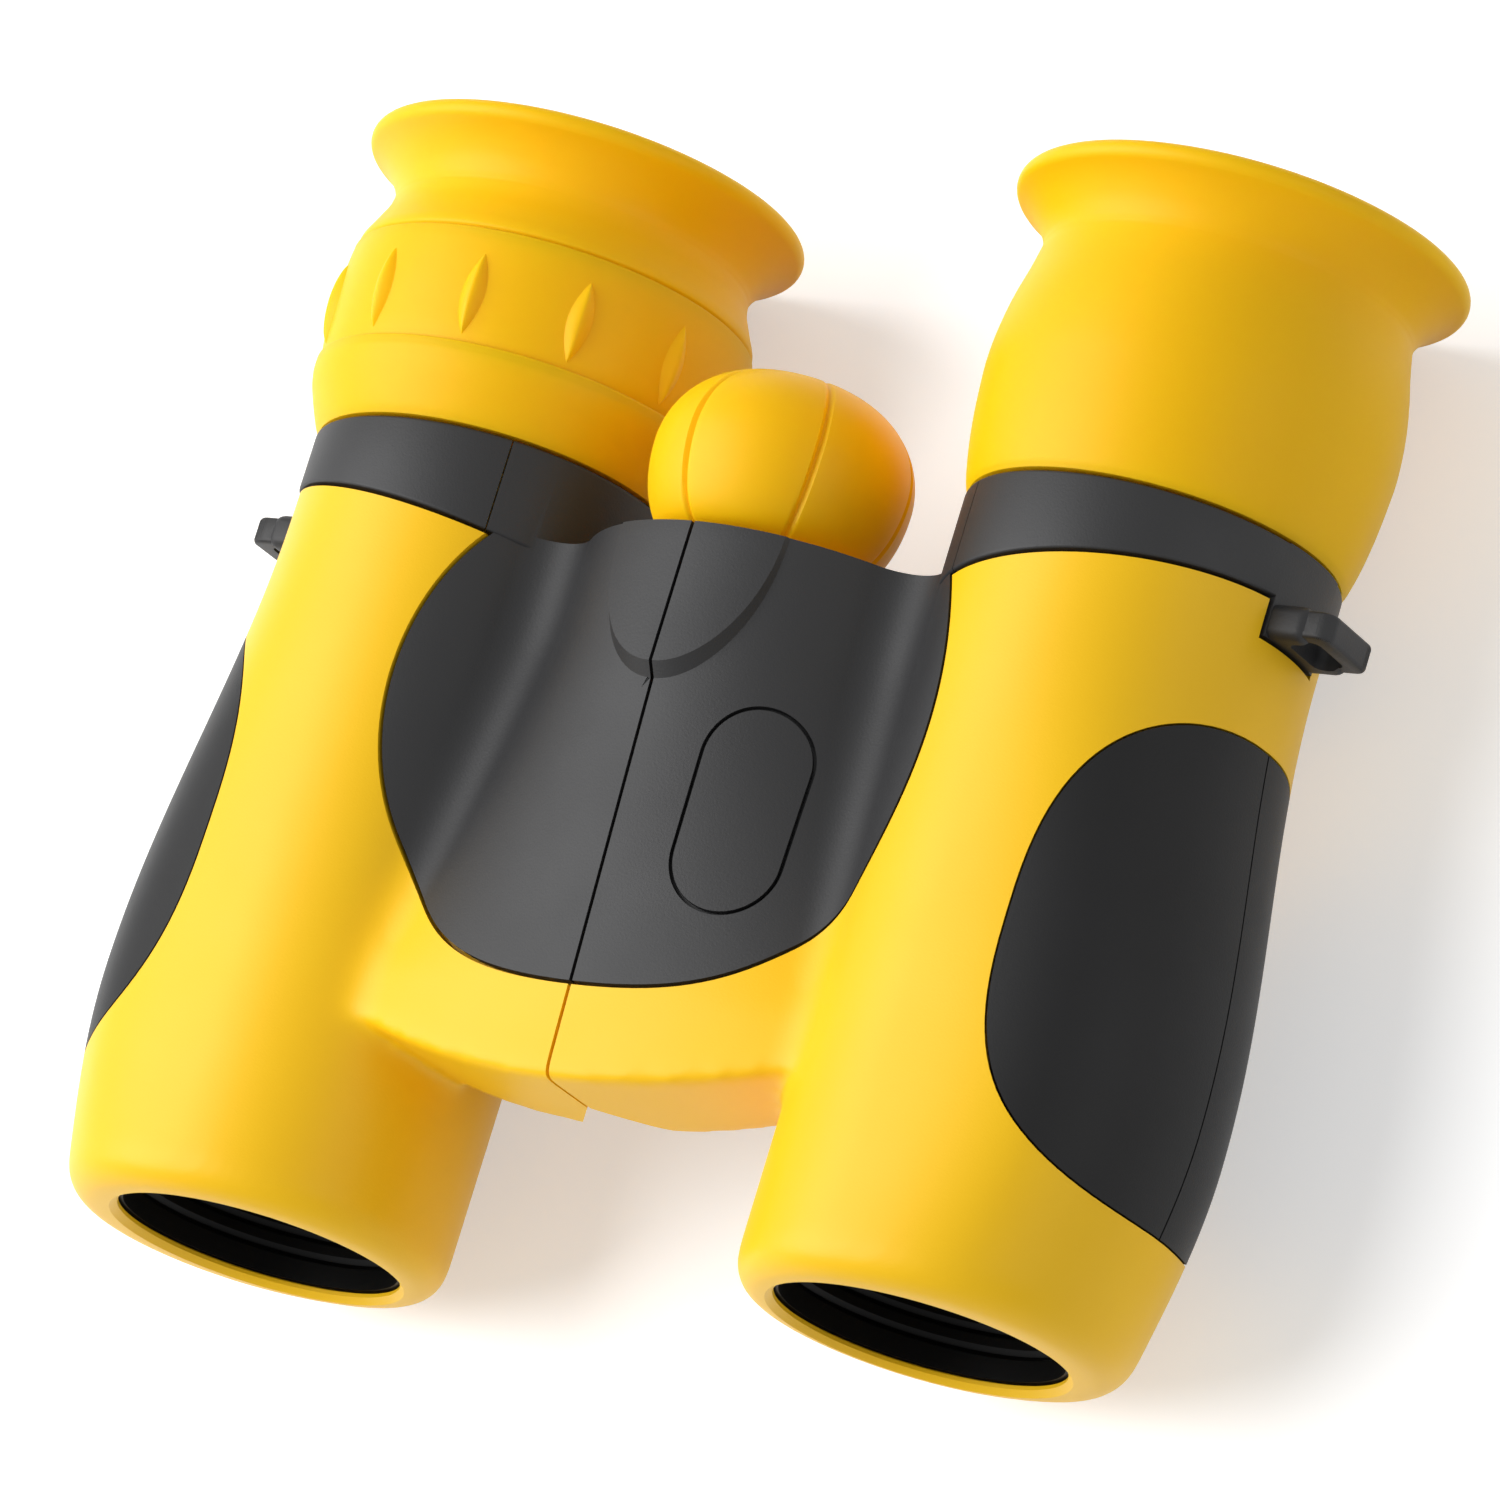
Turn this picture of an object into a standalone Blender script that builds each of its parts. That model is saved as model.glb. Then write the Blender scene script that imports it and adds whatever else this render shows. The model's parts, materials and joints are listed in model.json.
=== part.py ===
"""Compact folding binoculars for a child: two barrels on a centre hinge, a focus wheel between the
eyepieces, a diopter ring on the right eyepiece, dark covers, strap collars and side grips.

Metres, +Z up. +X is the user's right, +Y runs forward to the objectives, and the origin is under the
middle of the part. A station is a distance back from the front rims, along the barrels. Every piece is
modelled for the right barrel, at +X, and the left barrel's pieces are mirrored from it.
"""

import math

import bmesh
import bpy
from mathutils import Matrix, Vector

# Clearances
SEAT_GAP = 0.0003       # between pieces that are fitted together
RUN_GAP = 0.0002        # round a pin, a screw or a tube that turns or slides
SPLIT_GAP = 0.0004      # between the two halves above the hinge
STOP_GAP = 0.0012       # left at each end of a sliding piece's travel
CUT_MARGIN = 0.002      # how far a cutter reaches past the wall that it cuts
TOUCH = 1e-6            # points nearer than this count as one

# Barrels
AXIS_SPACING = 0.0602
BARREL_RADIUS = 0.0144
BARREL_WALL = 0.0024
OPENING_LIP = 0.0010    # how far the front opening stands in from the bore
LIP_DEPTH = 0.0018
RIM_ROUNDING = 0.0020
RIM_BEVEL = 0.0009
SWELL_HEIGHT = 0.0039   # palm swell on the outer side of each barrel
SWELL_STATION = 0.0183
SWELL_FRONT_RUN = 0.0280

# Bridge and hinge
HINGE_RISE = 0.0059     # hinge line above the barrel axes
HUMP_HEIGHT = 0.0150
HUMP_RADIUS = 0.0130
VALLEY_RADIUS = 0.0071
VALLEY_RISE = 0.0025    # how far the valley beside each barrel rises towards the front of the bridge
VALLEY_RISE_PLACE = 0.0148      # of the middle of that rise, out from the split
VALLEY_RISE_REACH = 0.0085      # half of its width
VALLEY_RISE_RUN = 0.0180        # length of its slope
VALLEY_RISE_SETBACK = 0.0030    # from the centre of the covers' outline back to the end of the slope
VALLEY_RISE_OVER = math.radians(62.0)   # how far it runs up round the barrel
BRIDGE_FRONT = 0.0128
BRIDGE_LENGTH = 0.0427
BRIDGE_FLOOR = 0.0010
BRIDGE_ROUNDING = 0.0020
RIGHT_NOTCH = math.radians(36.0)
LEFT_NOTCH = math.radians(52.0)
KNUCKLE_RADIUS = 0.0042
KNUCKLE_LENGTH = 0.0037
KNUCKLE_FRONT_INSET = 0.0023
KNUCKLE_REAR_INSET = 0.0004
PIN_RADIUS = 0.0015
BUSH_WALL = 0.0009

# Collar bands with strap lugs
COLLAR_SETBACK = 0.0012 # from the rear of the bridge back to the collar, at a barrel's axis
COLLAR_WIDTH = 0.0062
COLLAR_SLANT = 0.137
COLLAR_WALL = 0.0013
COLLAR_PROUD = 0.00015
SEAM_ANGLE = math.radians(52.0)
LUG_REACH = 0.0047      # out from the barrel
LUG_HEIGHT = 0.0076
LUG_LEAD = 0.0002       # how far a lug starts ahead of its collar
LUG_THICKNESS = 0.00275
LUG_WALL = 0.0014

# Top covers and badge
COVER_THICKNESS = 0.0010
COVER_RADIUS = 0.0242
COVER_LEAD = 0.0125     # from the rear of the bridge forward to the centre of the covers' round outline
COVER_LIP = 0.0007      # how far a cover hangs over the rear of the bridge
COVER_OVER = math.radians(80.0)     # how far a cover's layer runs up round the barrel
PAD_HEIGHT = 0.0007
PAD_HALF_WIDTH = 0.0076
PAD_LENGTH = 0.0123
BADGE_LENGTH = 0.0160
BADGE_WIDTH = 0.0082
BADGE_OFFSET = 0.0095
BADGE_LEAD = 0.0080     # ahead of the centre of the covers' outline
BADGE_TILT = math.radians(35.0)
COVER_SCREW_OFFSET = 0.0118
COVER_SCREW_SETBACK = 0.0010    # behind the centre of the covers' outline
SCREW_RADIUS = 0.0009
SCREW_HEAD_RADIUS = 0.0016
SCREW_HEAD_HEIGHT = 0.0010
BOSS_WALL = 0.0008
BOSS_DROP = 0.0040      # from the floor of the bridge up to the end of a cover's boss

# Side grips
GRIP_THICKNESS = 0.0012
GRIP_STATION = 0.0288
GRIP_HALF_LENGTH = 0.0188
GRIP_HALF_ANGLE = math.radians(66.0)
GRIP_POWER = 2.65

# Eyepieces, with (share of the length, share of the swell) along the outside of each eyepiece
EYECUP_LENGTH = 0.0256
EYECUP_SWELL = 0.00205  # out from the barrel
FLARE_OUTLINE = (
    (0.793, 0.00),
    (0.824, 0.06),
    (0.863, 0.32),
    (0.902, 0.72),
    (0.941, 1.20),
)
LEFT_OUTLINE = (
    (0.043, 0.20),
    (0.121, 0.40),
    (0.219, 0.59),
    (0.316, 0.70),
    (0.402, 0.76),
    (0.512, 0.68),
    (0.609, 0.49),
    (0.707, 0.20),
) + FLARE_OUTLINE
RIGHT_OUTLINE = (
    (0.043, 0.24),
    (0.102, 0.57),
    (0.160, 0.83),
    (0.207, 0.94),
    (0.316, 0.93),
    (0.434, 0.98),
    (0.551, 0.95),
    (0.602, 0.88),
    (0.668, 0.59),
    (0.746, 0.12),
) + FLARE_OUTLINE
EYECUP_FLARE = 0.0032   # of the rim, out from the barrel
EYECUP_RIM_EDGE = 0.0007
EYECUP_RIM_FLAT = 0.0009
EYECUP_FUNNEL = 0.0047  # depth of the funnel inside the rim
EYE_RELIEF = 0.0080     # from the rim forward to the end of the eyepiece tube
TUBE_SHOULDER = 0.0003  # how far an eyepiece tube is wider than the bore
PLUG_LENGTH = 0.0054
DIOPTER_SETBACK = 0.0061
DIOPTER_WIDTH = 0.0094
DIOPTER_TRAVEL = 0.0008
RIB_COUNT = 12
RIB_SETBACK = 0.0039    # from the front of the ring back to the middle of a rib
RIB_LENGTH = 0.0066
RIB_WIDTH = 0.0016
RIB_PROUD = 0.0006

# Optics
CELL_WALL = 0.0010
CELL_LIP = 0.0007
OBJECTIVE_THICKNESS = 0.0042
OBJECTIVE_BULGE = 0.0011
RETAINER_LENGTH = 0.0018
RETAINER_WALL = 0.0009
LINER_WALL = 0.0008
LINER_LENGTH = 0.0040
OCULAR_WALL = 0.0009
EYE_LENS_THICKNESS = 0.0032
FIELD_LENS_THICKNESS = 0.0028
EYE_LENS_BULGE = 0.0008
CAGE_LENGTH = 0.0140
CAGE_LEAD = 0.0023      # ahead of the eyepiece's plug
CAGE_WALL = 0.0014
PRISM_HALF_WIDTH = 0.0066
PRISM_AIR_GAP = 0.0004
PRISM_SLOPE = 0.0042
LIGHT_HOLE_RADIUS = 0.0060

# Focus drive
FOCUS_TRAVEL = 0.0015
NUT_RADIUS = 0.0034
NUT_LEAD = 0.0007       # ahead of the rear of the objective cells
ARM_INSET = 0.0002      # from an end of the nut to an arm
ARM_WIDTH = 0.0036
ARM_HEIGHT = 0.0020
ARM_DROP = 0.0019       # arms below the hinge line
ARM_RING_WALL = 0.0009
ARM_RING_ROOM = 0.0005  # round an arm's ring, inside the bridge
SCREW_ROD_RADIUS = 0.0016
SCREW_ROD_INSET = 0.0007
WHEEL_RADIUS = 0.0101
WHEEL_SETBACK = 0.0012  # behind the bridge
WHEEL_LENGTH = 0.0141
WHEEL_FACE_RADIUS = 0.0062
WHEEL_REAR_RADIUS = 0.0030
WHEEL_GROOVES = 6
GROOVE_DEPTH = 0.0004
WHEEL_SOCKET_DEPTH = 0.0070
WASHER_RADIUS = 0.0040

# Steps round turned shapes and along curves
SHELL_STEPS = 28
INNER_STEPS = 20
PIN_STEPS = 12
WHEEL_STEPS = 6 * WHEEL_GROOVES
WHEEL_CURVE_STEPS = 10
SWELL_STEPS = 10
GRIP_STEPS = 28
COVER_STEPS = 18
HUMP_STEPS = 5
VALLEY_STEPS = 6
VALLEY_SLICES = 6
ARC_STEPS = 4
END_STEPS = 8
SHARP_ANGLE = math.radians(35.0)

# Colours (linear), roughness and metallic value of each finish
YELLOW_PLASTIC = ((0.90, 0.55, 0.012), 0.42, 0.0)
YELLOW_RUBBER = ((0.95, 0.50, 0.004), 0.55, 0.0)
BLACK_PLASTIC = ((0.035, 0.035, 0.037), 0.45, 0.0)
BLACK_RUBBER = ((0.028, 0.028, 0.030), 0.60, 0.0)
INNER_BLACK = ((0.010, 0.010, 0.010), 0.70, 0.0)
GLASS = ((0.62, 0.70, 0.72), 0.05, 0.0)
STEEL = ((0.55, 0.55, 0.56), 0.30, 1.0)
BRASS = ((0.66, 0.46, 0.18), 0.32, 1.0)
NYLON = ((0.75, 0.74, 0.70), 0.50, 0.0)

# Places across the barrels
AXIS_X = AXIS_SPACING / 2
EYECUP_RIM_RADIUS = BARREL_RADIUS + EYECUP_FLARE
AXIS_Z = EYECUP_RIM_RADIUS
HINGE_Z = AXIS_Z + HINGE_RISE
HUMP_CENTRE = Vector((0.0, HUMP_HEIGHT - HUMP_RADIUS))
BARREL_CENTRE = Vector((AXIS_X, 0.0))

# Radii that follow from their neighbours
BORE_RADIUS = BARREL_RADIUS - BARREL_WALL
OPENING_RADIUS = BORE_RADIUS - OPENING_LIP
NECK_RADIUS = BARREL_RADIUS - COLLAR_WALL - SEAT_GAP
COLLAR_BORE = NECK_RADIUS + SEAT_GAP
COLLAR_RADIUS = BARREL_RADIUS + COLLAR_PROUD
CELL_RADIUS = BORE_RADIUS - SEAT_GAP
CELL_BORE = CELL_RADIUS - CELL_WALL
LENS_RADIUS = CELL_BORE - SEAT_GAP
TUBE_RADIUS = BORE_RADIUS + TUBE_SHOULDER
OCULAR_RADIUS = TUBE_RADIUS - COLLAR_WALL - RUN_GAP
OCULAR_BORE = OCULAR_RADIUS - OCULAR_WALL
ARM_HOLE = NUT_RADIUS + RUN_GAP
CAVITY_RADIUS = ARM_HOLE + ARM_RING_WALL + ARM_RING_ROOM
PIN_HOLE = PIN_RADIUS + RUN_GAP
ROD_HOLE = SCREW_ROD_RADIUS + RUN_GAP
BUSH_RADIUS = ROD_HOLE + BUSH_WALL
BUSH_HOLE = BUSH_RADIUS + RUN_GAP

# Stations along the barrels, from front to rear
LINER_REAR = LIP_DEPTH + SEAT_GAP + LINER_LENGTH
CELL_FRONT = LINER_REAR + FOCUS_TRAVEL + STOP_GAP
KNUCKLE_STEP = KNUCKLE_LENGTH + SEAT_GAP
FRONT_KNUCKLE = BRIDGE_FRONT + KNUCKLE_FRONT_INSET
CAVITY_FRONT = FRONT_KNUCKLE + 2 * KNUCKLE_STEP
NUT_FRONT = CAVITY_FRONT + FOCUS_TRAVEL + STOP_GAP
SCREW_ROD_FRONT = NUT_FRONT + SCREW_ROD_INSET
LEFT_ARM_STATION = NUT_FRONT + ARM_INSET + ARM_WIDTH / 2
BRIDGE_REAR = BRIDGE_FRONT + BRIDGE_LENGTH
REAR_KNUCKLE = BRIDGE_REAR - KNUCKLE_REAR_INSET - 2 * KNUCKLE_STEP
COVER_STATION = BRIDGE_REAR - COVER_LEAD
COVER_REAR = BRIDGE_REAR + COVER_LIP
BADGE_STATION = COVER_STATION - BADGE_LEAD
COVER_SCREW_STATION = COVER_STATION + COVER_SCREW_SETBACK
WHEEL_FRONT = BRIDGE_REAR + WHEEL_SETBACK
WHEEL_REAR = WHEEL_FRONT + WHEEL_LENGTH
COLLAR_STATION = BRIDGE_REAR + COLLAR_SETBACK
COLLAR_REAR = COLLAR_STATION + COLLAR_WIDTH
COLLAR_LEAN = COLLAR_SLANT * BARREL_RADIUS
LUG_FRONT = COLLAR_STATION - LUG_LEAD
SWELL_REAR_RUN = COLLAR_STATION - SWELL_STATION
PLUG_FRONT = COLLAR_REAR - PLUG_LENGTH
CAGE_REAR = PLUG_FRONT - CAGE_LEAD
CAGE_FRONT = CAGE_REAR - CAGE_LENGTH
CELL_REAR = CAGE_FRONT - FOCUS_TRAVEL - STOP_GAP
NUT_REAR = CELL_REAR - NUT_LEAD
RIGHT_ARM_STATION = NUT_REAR - ARM_INSET - ARM_WIDTH / 2
EYEPIECE_FRONT = COLLAR_REAR + SEAT_GAP
DIOPTER_FRONT = COLLAR_REAR + DIOPTER_SETBACK
DIOPTER_REAR = DIOPTER_FRONT + DIOPTER_WIDTH
EYECUP_REAR = COLLAR_REAR + EYECUP_LENGTH
EYECUP_THROAT = EYECUP_REAR - EYECUP_FUNNEL
TUBE_REAR = EYECUP_REAR - EYE_RELIEF
LENGTH = EYECUP_REAR

parts = bpy.data.collections.new("folding_binoculars")


def clear_scene():
    for obj in list(bpy.data.objects):
        bpy.data.objects.remove(obj, do_unlink=True)
    bpy.context.scene.collection.children.link(parts)


def back(station):
    """The Y of a station."""
    return LENGTH / 2 - station


def swell(station):
    """How far the outer side of a barrel stands out at a station."""
    ahead = SWELL_STATION - station
    run = SWELL_FRONT_RUN if ahead > 0 else SWELL_REAR_RUN
    share = min(abs(ahead) / run, 1.0)
    return SWELL_HEIGHT * math.cos(share * math.pi / 2) ** 2


def object_from(name, mesh):
    obj = bpy.data.objects.new(name, mesh)
    parts.objects.link(obj)
    return obj


def bake(obj):
    """Replaces an object's mesh by what its modifiers make of it."""
    graph = bpy.context.evaluated_depsgraph_get()
    mesh = bpy.data.meshes.new_from_object(obj.evaluated_get(graph))
    obj.modifiers.clear()
    old = obj.data
    obj.data = mesh
    bpy.data.meshes.remove(old)


def boolean(target, other, operation):
    """Joins, cuts or trims a piece with another one, which is used up."""
    modifier = target.modifiers.new(operation.lower(), "BOOLEAN")
    modifier.operation = operation
    modifier.solver = "MANIFOLD"    # the shells' many shallow cuts come out closed with this one
    modifier.object = other
    bake(target)
    mesh = other.data
    bpy.data.objects.remove(other)
    bpy.data.meshes.remove(mesh)
    return target


def join(target, other):
    return boolean(target, other, "UNION")


def cut(target, *cutters):
    for cutter in cutters:
        boolean(target, cutter, "DIFFERENCE")
    return target


def trim(target, other):
    return boolean(target, other, "INTERSECT")


def turned(name, outline, x=AXIS_X, z=AXIS_Z, steps=INNER_STEPS):
    """A shape turned about a line along Y. The outline gives (station, radius) from front to rear along
    the outside and back along the inside. It closes on itself unless it starts and ends on the line."""
    mesh = bpy.data.meshes.new(name)
    points = [(radius, 0.0, back(station)) for station, radius in outline]
    edges = [(i, i + 1) for i in range(len(points) - 1)]
    if outline[0][1] > 0:
        edges.append((len(points) - 1, 0))
    mesh.from_pydata(points, edges, [])
    obj = object_from(name, mesh)
    screw = obj.modifiers.new("turn", "SCREW")
    screw.axis = "Z"
    screw.angle = math.tau
    screw.steps = steps
    screw.render_steps = steps
    screw.use_merge_vertices = True
    screw.merge_threshold = 1e-6
    bake(obj)
    obj.data.transform(Matrix.Translation((x, 0.0, z)) @ Matrix.Rotation(-math.pi / 2, 4, "X"))
    return obj


def rod(name, front, rear, radius, x=AXIS_X, z=AXIS_Z, steps=INNER_STEPS):
    return turned(name, ((front, 0.0), (front, radius), (rear, radius), (rear, 0.0)), x, z, steps)


def tube(name, front, rear, outer, inner, x=AXIS_X, z=AXIS_Z, steps=INNER_STEPS):
    return turned(name, ((front, outer), (rear, outer), (rear, inner), (front, inner)), x, z, steps)


def box(name, low, high, bevel=0.0):
    """A block between two corners, each given as (x, station, z)."""
    mesh = bpy.data.meshes.new(name)
    shape = bmesh.new()
    bmesh.ops.create_cube(shape, size=1.0)
    corners = [Vector((low[0], back(high[1]), low[2])), Vector((high[0], back(low[1]), high[2]))]
    size = corners[1] - corners[0]
    middle = (corners[0] + corners[1]) / 2
    placing = Matrix.Translation(middle) @ Matrix.Diagonal(size).to_4x4()
    bmesh.ops.transform(shape, matrix=placing, verts=shape.verts)
    if bevel:
        bmesh.ops.bevel(shape, geom=shape.edges[:], offset=bevel, segments=1, affect="EDGES")
    shape.to_mesh(mesh)
    shape.free()
    return object_from(name, mesh)


def prism(name, outline, depth, matrix):
    """A flat outline in local X and Y, drawn out along local Z by the depth, then placed by the matrix."""
    mesh = bpy.data.meshes.new(name)
    shape = bmesh.new()
    face = shape.faces.new([shape.verts.new((x, y, 0.0)) for x, y in outline])
    sides = bmesh.ops.extrude_face_region(shape, geom=[face])
    drawn = [item for item in sides["geom"] if isinstance(item, bmesh.types.BMVert)]
    bmesh.ops.translate(shape, vec=(0.0, 0.0, depth), verts=drawn)
    bmesh.ops.transform(shape, matrix=matrix, verts=shape.verts)
    bmesh.ops.recalc_face_normals(shape, faces=shape.faces)
    shape.to_mesh(mesh)
    shape.free()
    return object_from(name, mesh)


def section(name, outline, front, rear):
    """An outline of (x, height above the barrel axes), drawn out between two stations."""
    place = Matrix.Translation((0.0, back(front), AXIS_Z)) @ Matrix.Rotation(math.pi / 2, 4, "X")
    return prism(name, outline, rear - front, place)


def plan(name, outline):
    """An outline of (x, station) as a column that stands through the whole part."""
    place = Matrix.Translation((0.0, back(0.0), 0.0)) @ Matrix.Diagonal((1.0, -1.0, 1.0, 1.0))
    return prism(name, outline, 2 * AXIS_Z + CUT_MARGIN, place)


def arc(centre, radius, start, end, count):
    """Points on an arc, from one angle to another, in order."""
    angles = [start + (end - start) * i / count for i in range(count + 1)]
    return [(centre[0] + radius * math.cos(a), centre[1] + radius * math.sin(a)) for a in angles]


def valley_centre():
    """The centre of the arc that runs smoothly from the hump over the hinge into a barrel."""
    to_barrel = BARREL_CENTRE - HUMP_CENTRE
    span = to_barrel.length
    along_hump = HUMP_RADIUS + VALLEY_RADIUS
    along_barrel = BARREL_RADIUS + VALLEY_RADIUS
    reach = (span ** 2 + along_hump ** 2 - along_barrel ** 2) / (2 * span)
    rise = math.sqrt(along_hump ** 2 - reach ** 2)
    direction = to_barrel / span
    return HUMP_CENTRE + direction * reach + Vector((-direction.y, direction.x)) * rise


def top_line(raised, barrel_end):
    """The top of the right half as (x, height), from the split to a place on the barrel, moved outwards by
    a distance. The barrel's arc ends at the given angle, counted from the inward side."""
    valley = valley_centre()
    to_hump = valley - HUMP_CENTRE
    to_barrel = valley - BARREL_CENTRE
    hump_angle = math.atan2(to_hump.y, to_hump.x)
    barrel_angle = math.atan2(to_barrel.y, to_barrel.x)
    split_angle = math.acos(SPLIT_GAP / 2 / (HUMP_RADIUS + raised))
    line = arc(HUMP_CENTRE, HUMP_RADIUS + raised, split_angle, hump_angle, HUMP_STEPS)
    turn = (hump_angle + math.pi, barrel_angle + math.pi)
    line += arc(valley, VALLEY_RADIUS - raised, *turn, VALLEY_STEPS)[1:]
    turn = (barrel_angle, math.pi - barrel_end)
    return line + arc(BARREL_CENTRE, BARREL_RADIUS + raised, *turn, ARC_STEPS)[1:]


def valley_lift(x, station):
    """How far the valley beside a barrel is raised at a place."""
    aside = (x - VALLEY_RISE_PLACE) / VALLEY_RISE_REACH
    ahead = (COVER_STATION + VALLEY_RISE_SETBACK - station) / VALLEY_RISE_RUN
    if abs(aside) >= 1 or ahead <= 0:
        return 0.0
    slope = min(ahead, 1.0)
    return VALLEY_RISE * (1 - aside ** 2) ** 2 * slope ** 2 * (3 - 2 * slope)


def raise_valley(obj):
    """Slices a form across and raises its top in the valley beside the barrel."""
    shape = bmesh.new()
    shape.from_mesh(obj.data)
    rear = COVER_STATION + VALLEY_RISE_SETBACK
    for i in range(VALLEY_SLICES + 1):
        place = (0.0, back(rear - VALLEY_RISE_RUN * i / VALLEY_SLICES), 0.0)
        whole = shape.verts[:] + shape.edges[:] + shape.faces[:]
        bmesh.ops.bisect_plane(shape, geom=whole, plane_co=place, plane_no=(0.0, 1.0, 0.0))
    for vertex in shape.verts:
        if vertex.co.z > AXIS_Z + HINGE_RISE:
            vertex.co.z += valley_lift(vertex.co.x, LENGTH / 2 - vertex.co.y)
    bmesh.ops.triangulate(shape, faces=[face for face in shape.faces if len(face.verts) == 4])
    shape.to_mesh(obj.data)
    shape.free()
    return obj


def band(name, raised, sunk, front, rear):
    """The layer between two offsets of the half's top, from the split over to the top of the barrel."""
    outline = top_line(raised, COVER_OVER) + top_line(-sunk, COVER_OVER)[::-1]
    return raise_valley(section(name, outline, front, rear))


def mirrored(obj):
    """Turns a right-hand piece into a left-hand one."""
    obj.data.transform(Matrix.Diagonal((-1.0, 1.0, 1.0, 1.0)))
    obj.data.flip_normals()
    return obj


def handed(obj, side):
    return mirrored(obj) if side == "left" else obj


def seated_sector(name, half_angle):
    """A wedge about a barrel's axis that opens towards the hinge."""
    far = AXIS_X
    outline = [(AXIS_X, 0.0)]
    outline += [(AXIS_X - far * math.cos(a), far * math.sin(a)) for a in (half_angle, 0.0, -half_angle)]
    return section(name, outline, COLLAR_STATION - COLLAR_LEAN - CUT_MARGIN, COLLAR_REAR + CUT_MARGIN)


def slant_front(obj, front):
    """Slants the front edge of a ring, which lies further back on the outer side of the barrel."""
    for vertex in obj.data.vertices:
        if abs(vertex.co.y - back(front)) < TOUCH:
            vertex.co.y -= COLLAR_SLANT * (vertex.co.x - AXIS_X)
    return obj


def collar_ring(name, outer, inner, front, rear):
    return slant_front(tube(name, front, rear, outer, inner, steps=SHELL_STEPS), front)


def grip_outline(spare):
    """The oval of a side grip as (station, angle round the barrel), widened by a spare distance."""
    points = []
    for i in range(GRIP_STEPS):
        turn = math.tau * i / GRIP_STEPS
        power = 2 / GRIP_POWER
        along = math.copysign(abs(math.cos(turn)) ** power, math.cos(turn))
        across = math.copysign(abs(math.sin(turn)) ** power, math.sin(turn))
        length = GRIP_HALF_LENGTH + spare
        angle = GRIP_HALF_ANGLE + spare / BARREL_RADIUS
        points.append((GRIP_STATION + length * along, angle * across))
    return points


def grip_wedge(name, spare):
    """A solid that spreads out from the barrel's axis through the oval of a side grip. It is a loft from a
    small oval inside the barrel, through one at its surface, to a large one outside it."""
    shape = bmesh.new()
    rings = []
    outline = grip_outline(spare)
    for radius in (BORE_RADIUS - CUT_MARGIN, BARREL_RADIUS + SWELL_HEIGHT / 2, 2 * BARREL_RADIUS):
        ring = []
        for station, angle in outline:
            place = (AXIS_X + radius * math.cos(angle), back(station), AXIS_Z + radius * math.sin(angle))
            ring.append(shape.verts.new(place))
        rings.append((radius, ring))
    for radius, ring in (rings[0], rings[-1]):
        hub = shape.verts.new((AXIS_X + radius, back(GRIP_STATION), AXIS_Z))
        for i, vertex in enumerate(ring):
            shape.faces.new((hub, vertex, ring[i - 1]))
    for (_, small), (_, large) in zip(rings, rings[1:]):
        for i in range(len(outline)):
            shape.faces.new((small[i - 1], small[i], large[i]))
            shape.faces.new((small[i - 1], large[i], large[i - 1]))
    bmesh.ops.recalc_face_normals(shape, faces=shape.faces)
    mesh = bpy.data.meshes.new(name)
    shape.to_mesh(mesh)
    shape.free()
    return object_from(name, mesh)


def swell_stations():
    first = RIM_ROUNDING
    last = COLLAR_STATION + COLLAR_LEAN
    return [first + (last - first) * i / SWELL_STEPS for i in range(SWELL_STEPS + 1)]


def swell_out(obj, inner_limit):
    """Moves the outer side of a barrel-shaped piece outwards by the palm swell."""
    for vertex in obj.data.vertices:
        aside = vertex.co.x - AXIS_X
        if aside > TOUCH and math.hypot(aside, vertex.co.z - AXIS_Z) > inner_limit:
            vertex.co.x += swell(LENGTH / 2 - vertex.co.y)
    return obj


def barrel_body():
    """The outside of a barrel as a solid, before it is bored."""
    corner = (RIM_ROUNDING, BARREL_RADIUS - RIM_ROUNDING)
    rounding = arc(corner, RIM_ROUNDING, math.pi, math.pi / 2, ARC_STEPS)
    outline = [(0.0, 0.0)] + rounding
    outline += [(station, BARREL_RADIUS) for station in swell_stations()[1:]]
    rear = COLLAR_REAR - SEAT_GAP
    outline += [(rear, BARREL_RADIUS), (rear, 0.0)]
    return swell_out(turned("barrel", outline, steps=SHELL_STEPS), BORE_RADIUS / 2)


def bore_cutter():
    """The way through a barrel: a bevelled opening, a lip and the bore."""
    outline = (
        (-CUT_MARGIN, 0.0),
        (-CUT_MARGIN, OPENING_RADIUS + RIM_BEVEL + CUT_MARGIN),
        (RIM_BEVEL, OPENING_RADIUS),
        (LIP_DEPTH, OPENING_RADIUS),
        (LIP_DEPTH, BORE_RADIUS),
        (COLLAR_REAR + CUT_MARGIN, BORE_RADIUS),
        (COLLAR_REAR + CUT_MARGIN, 0.0),
    )
    return turned("bore", outline, steps=SHELL_STEPS)


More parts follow.
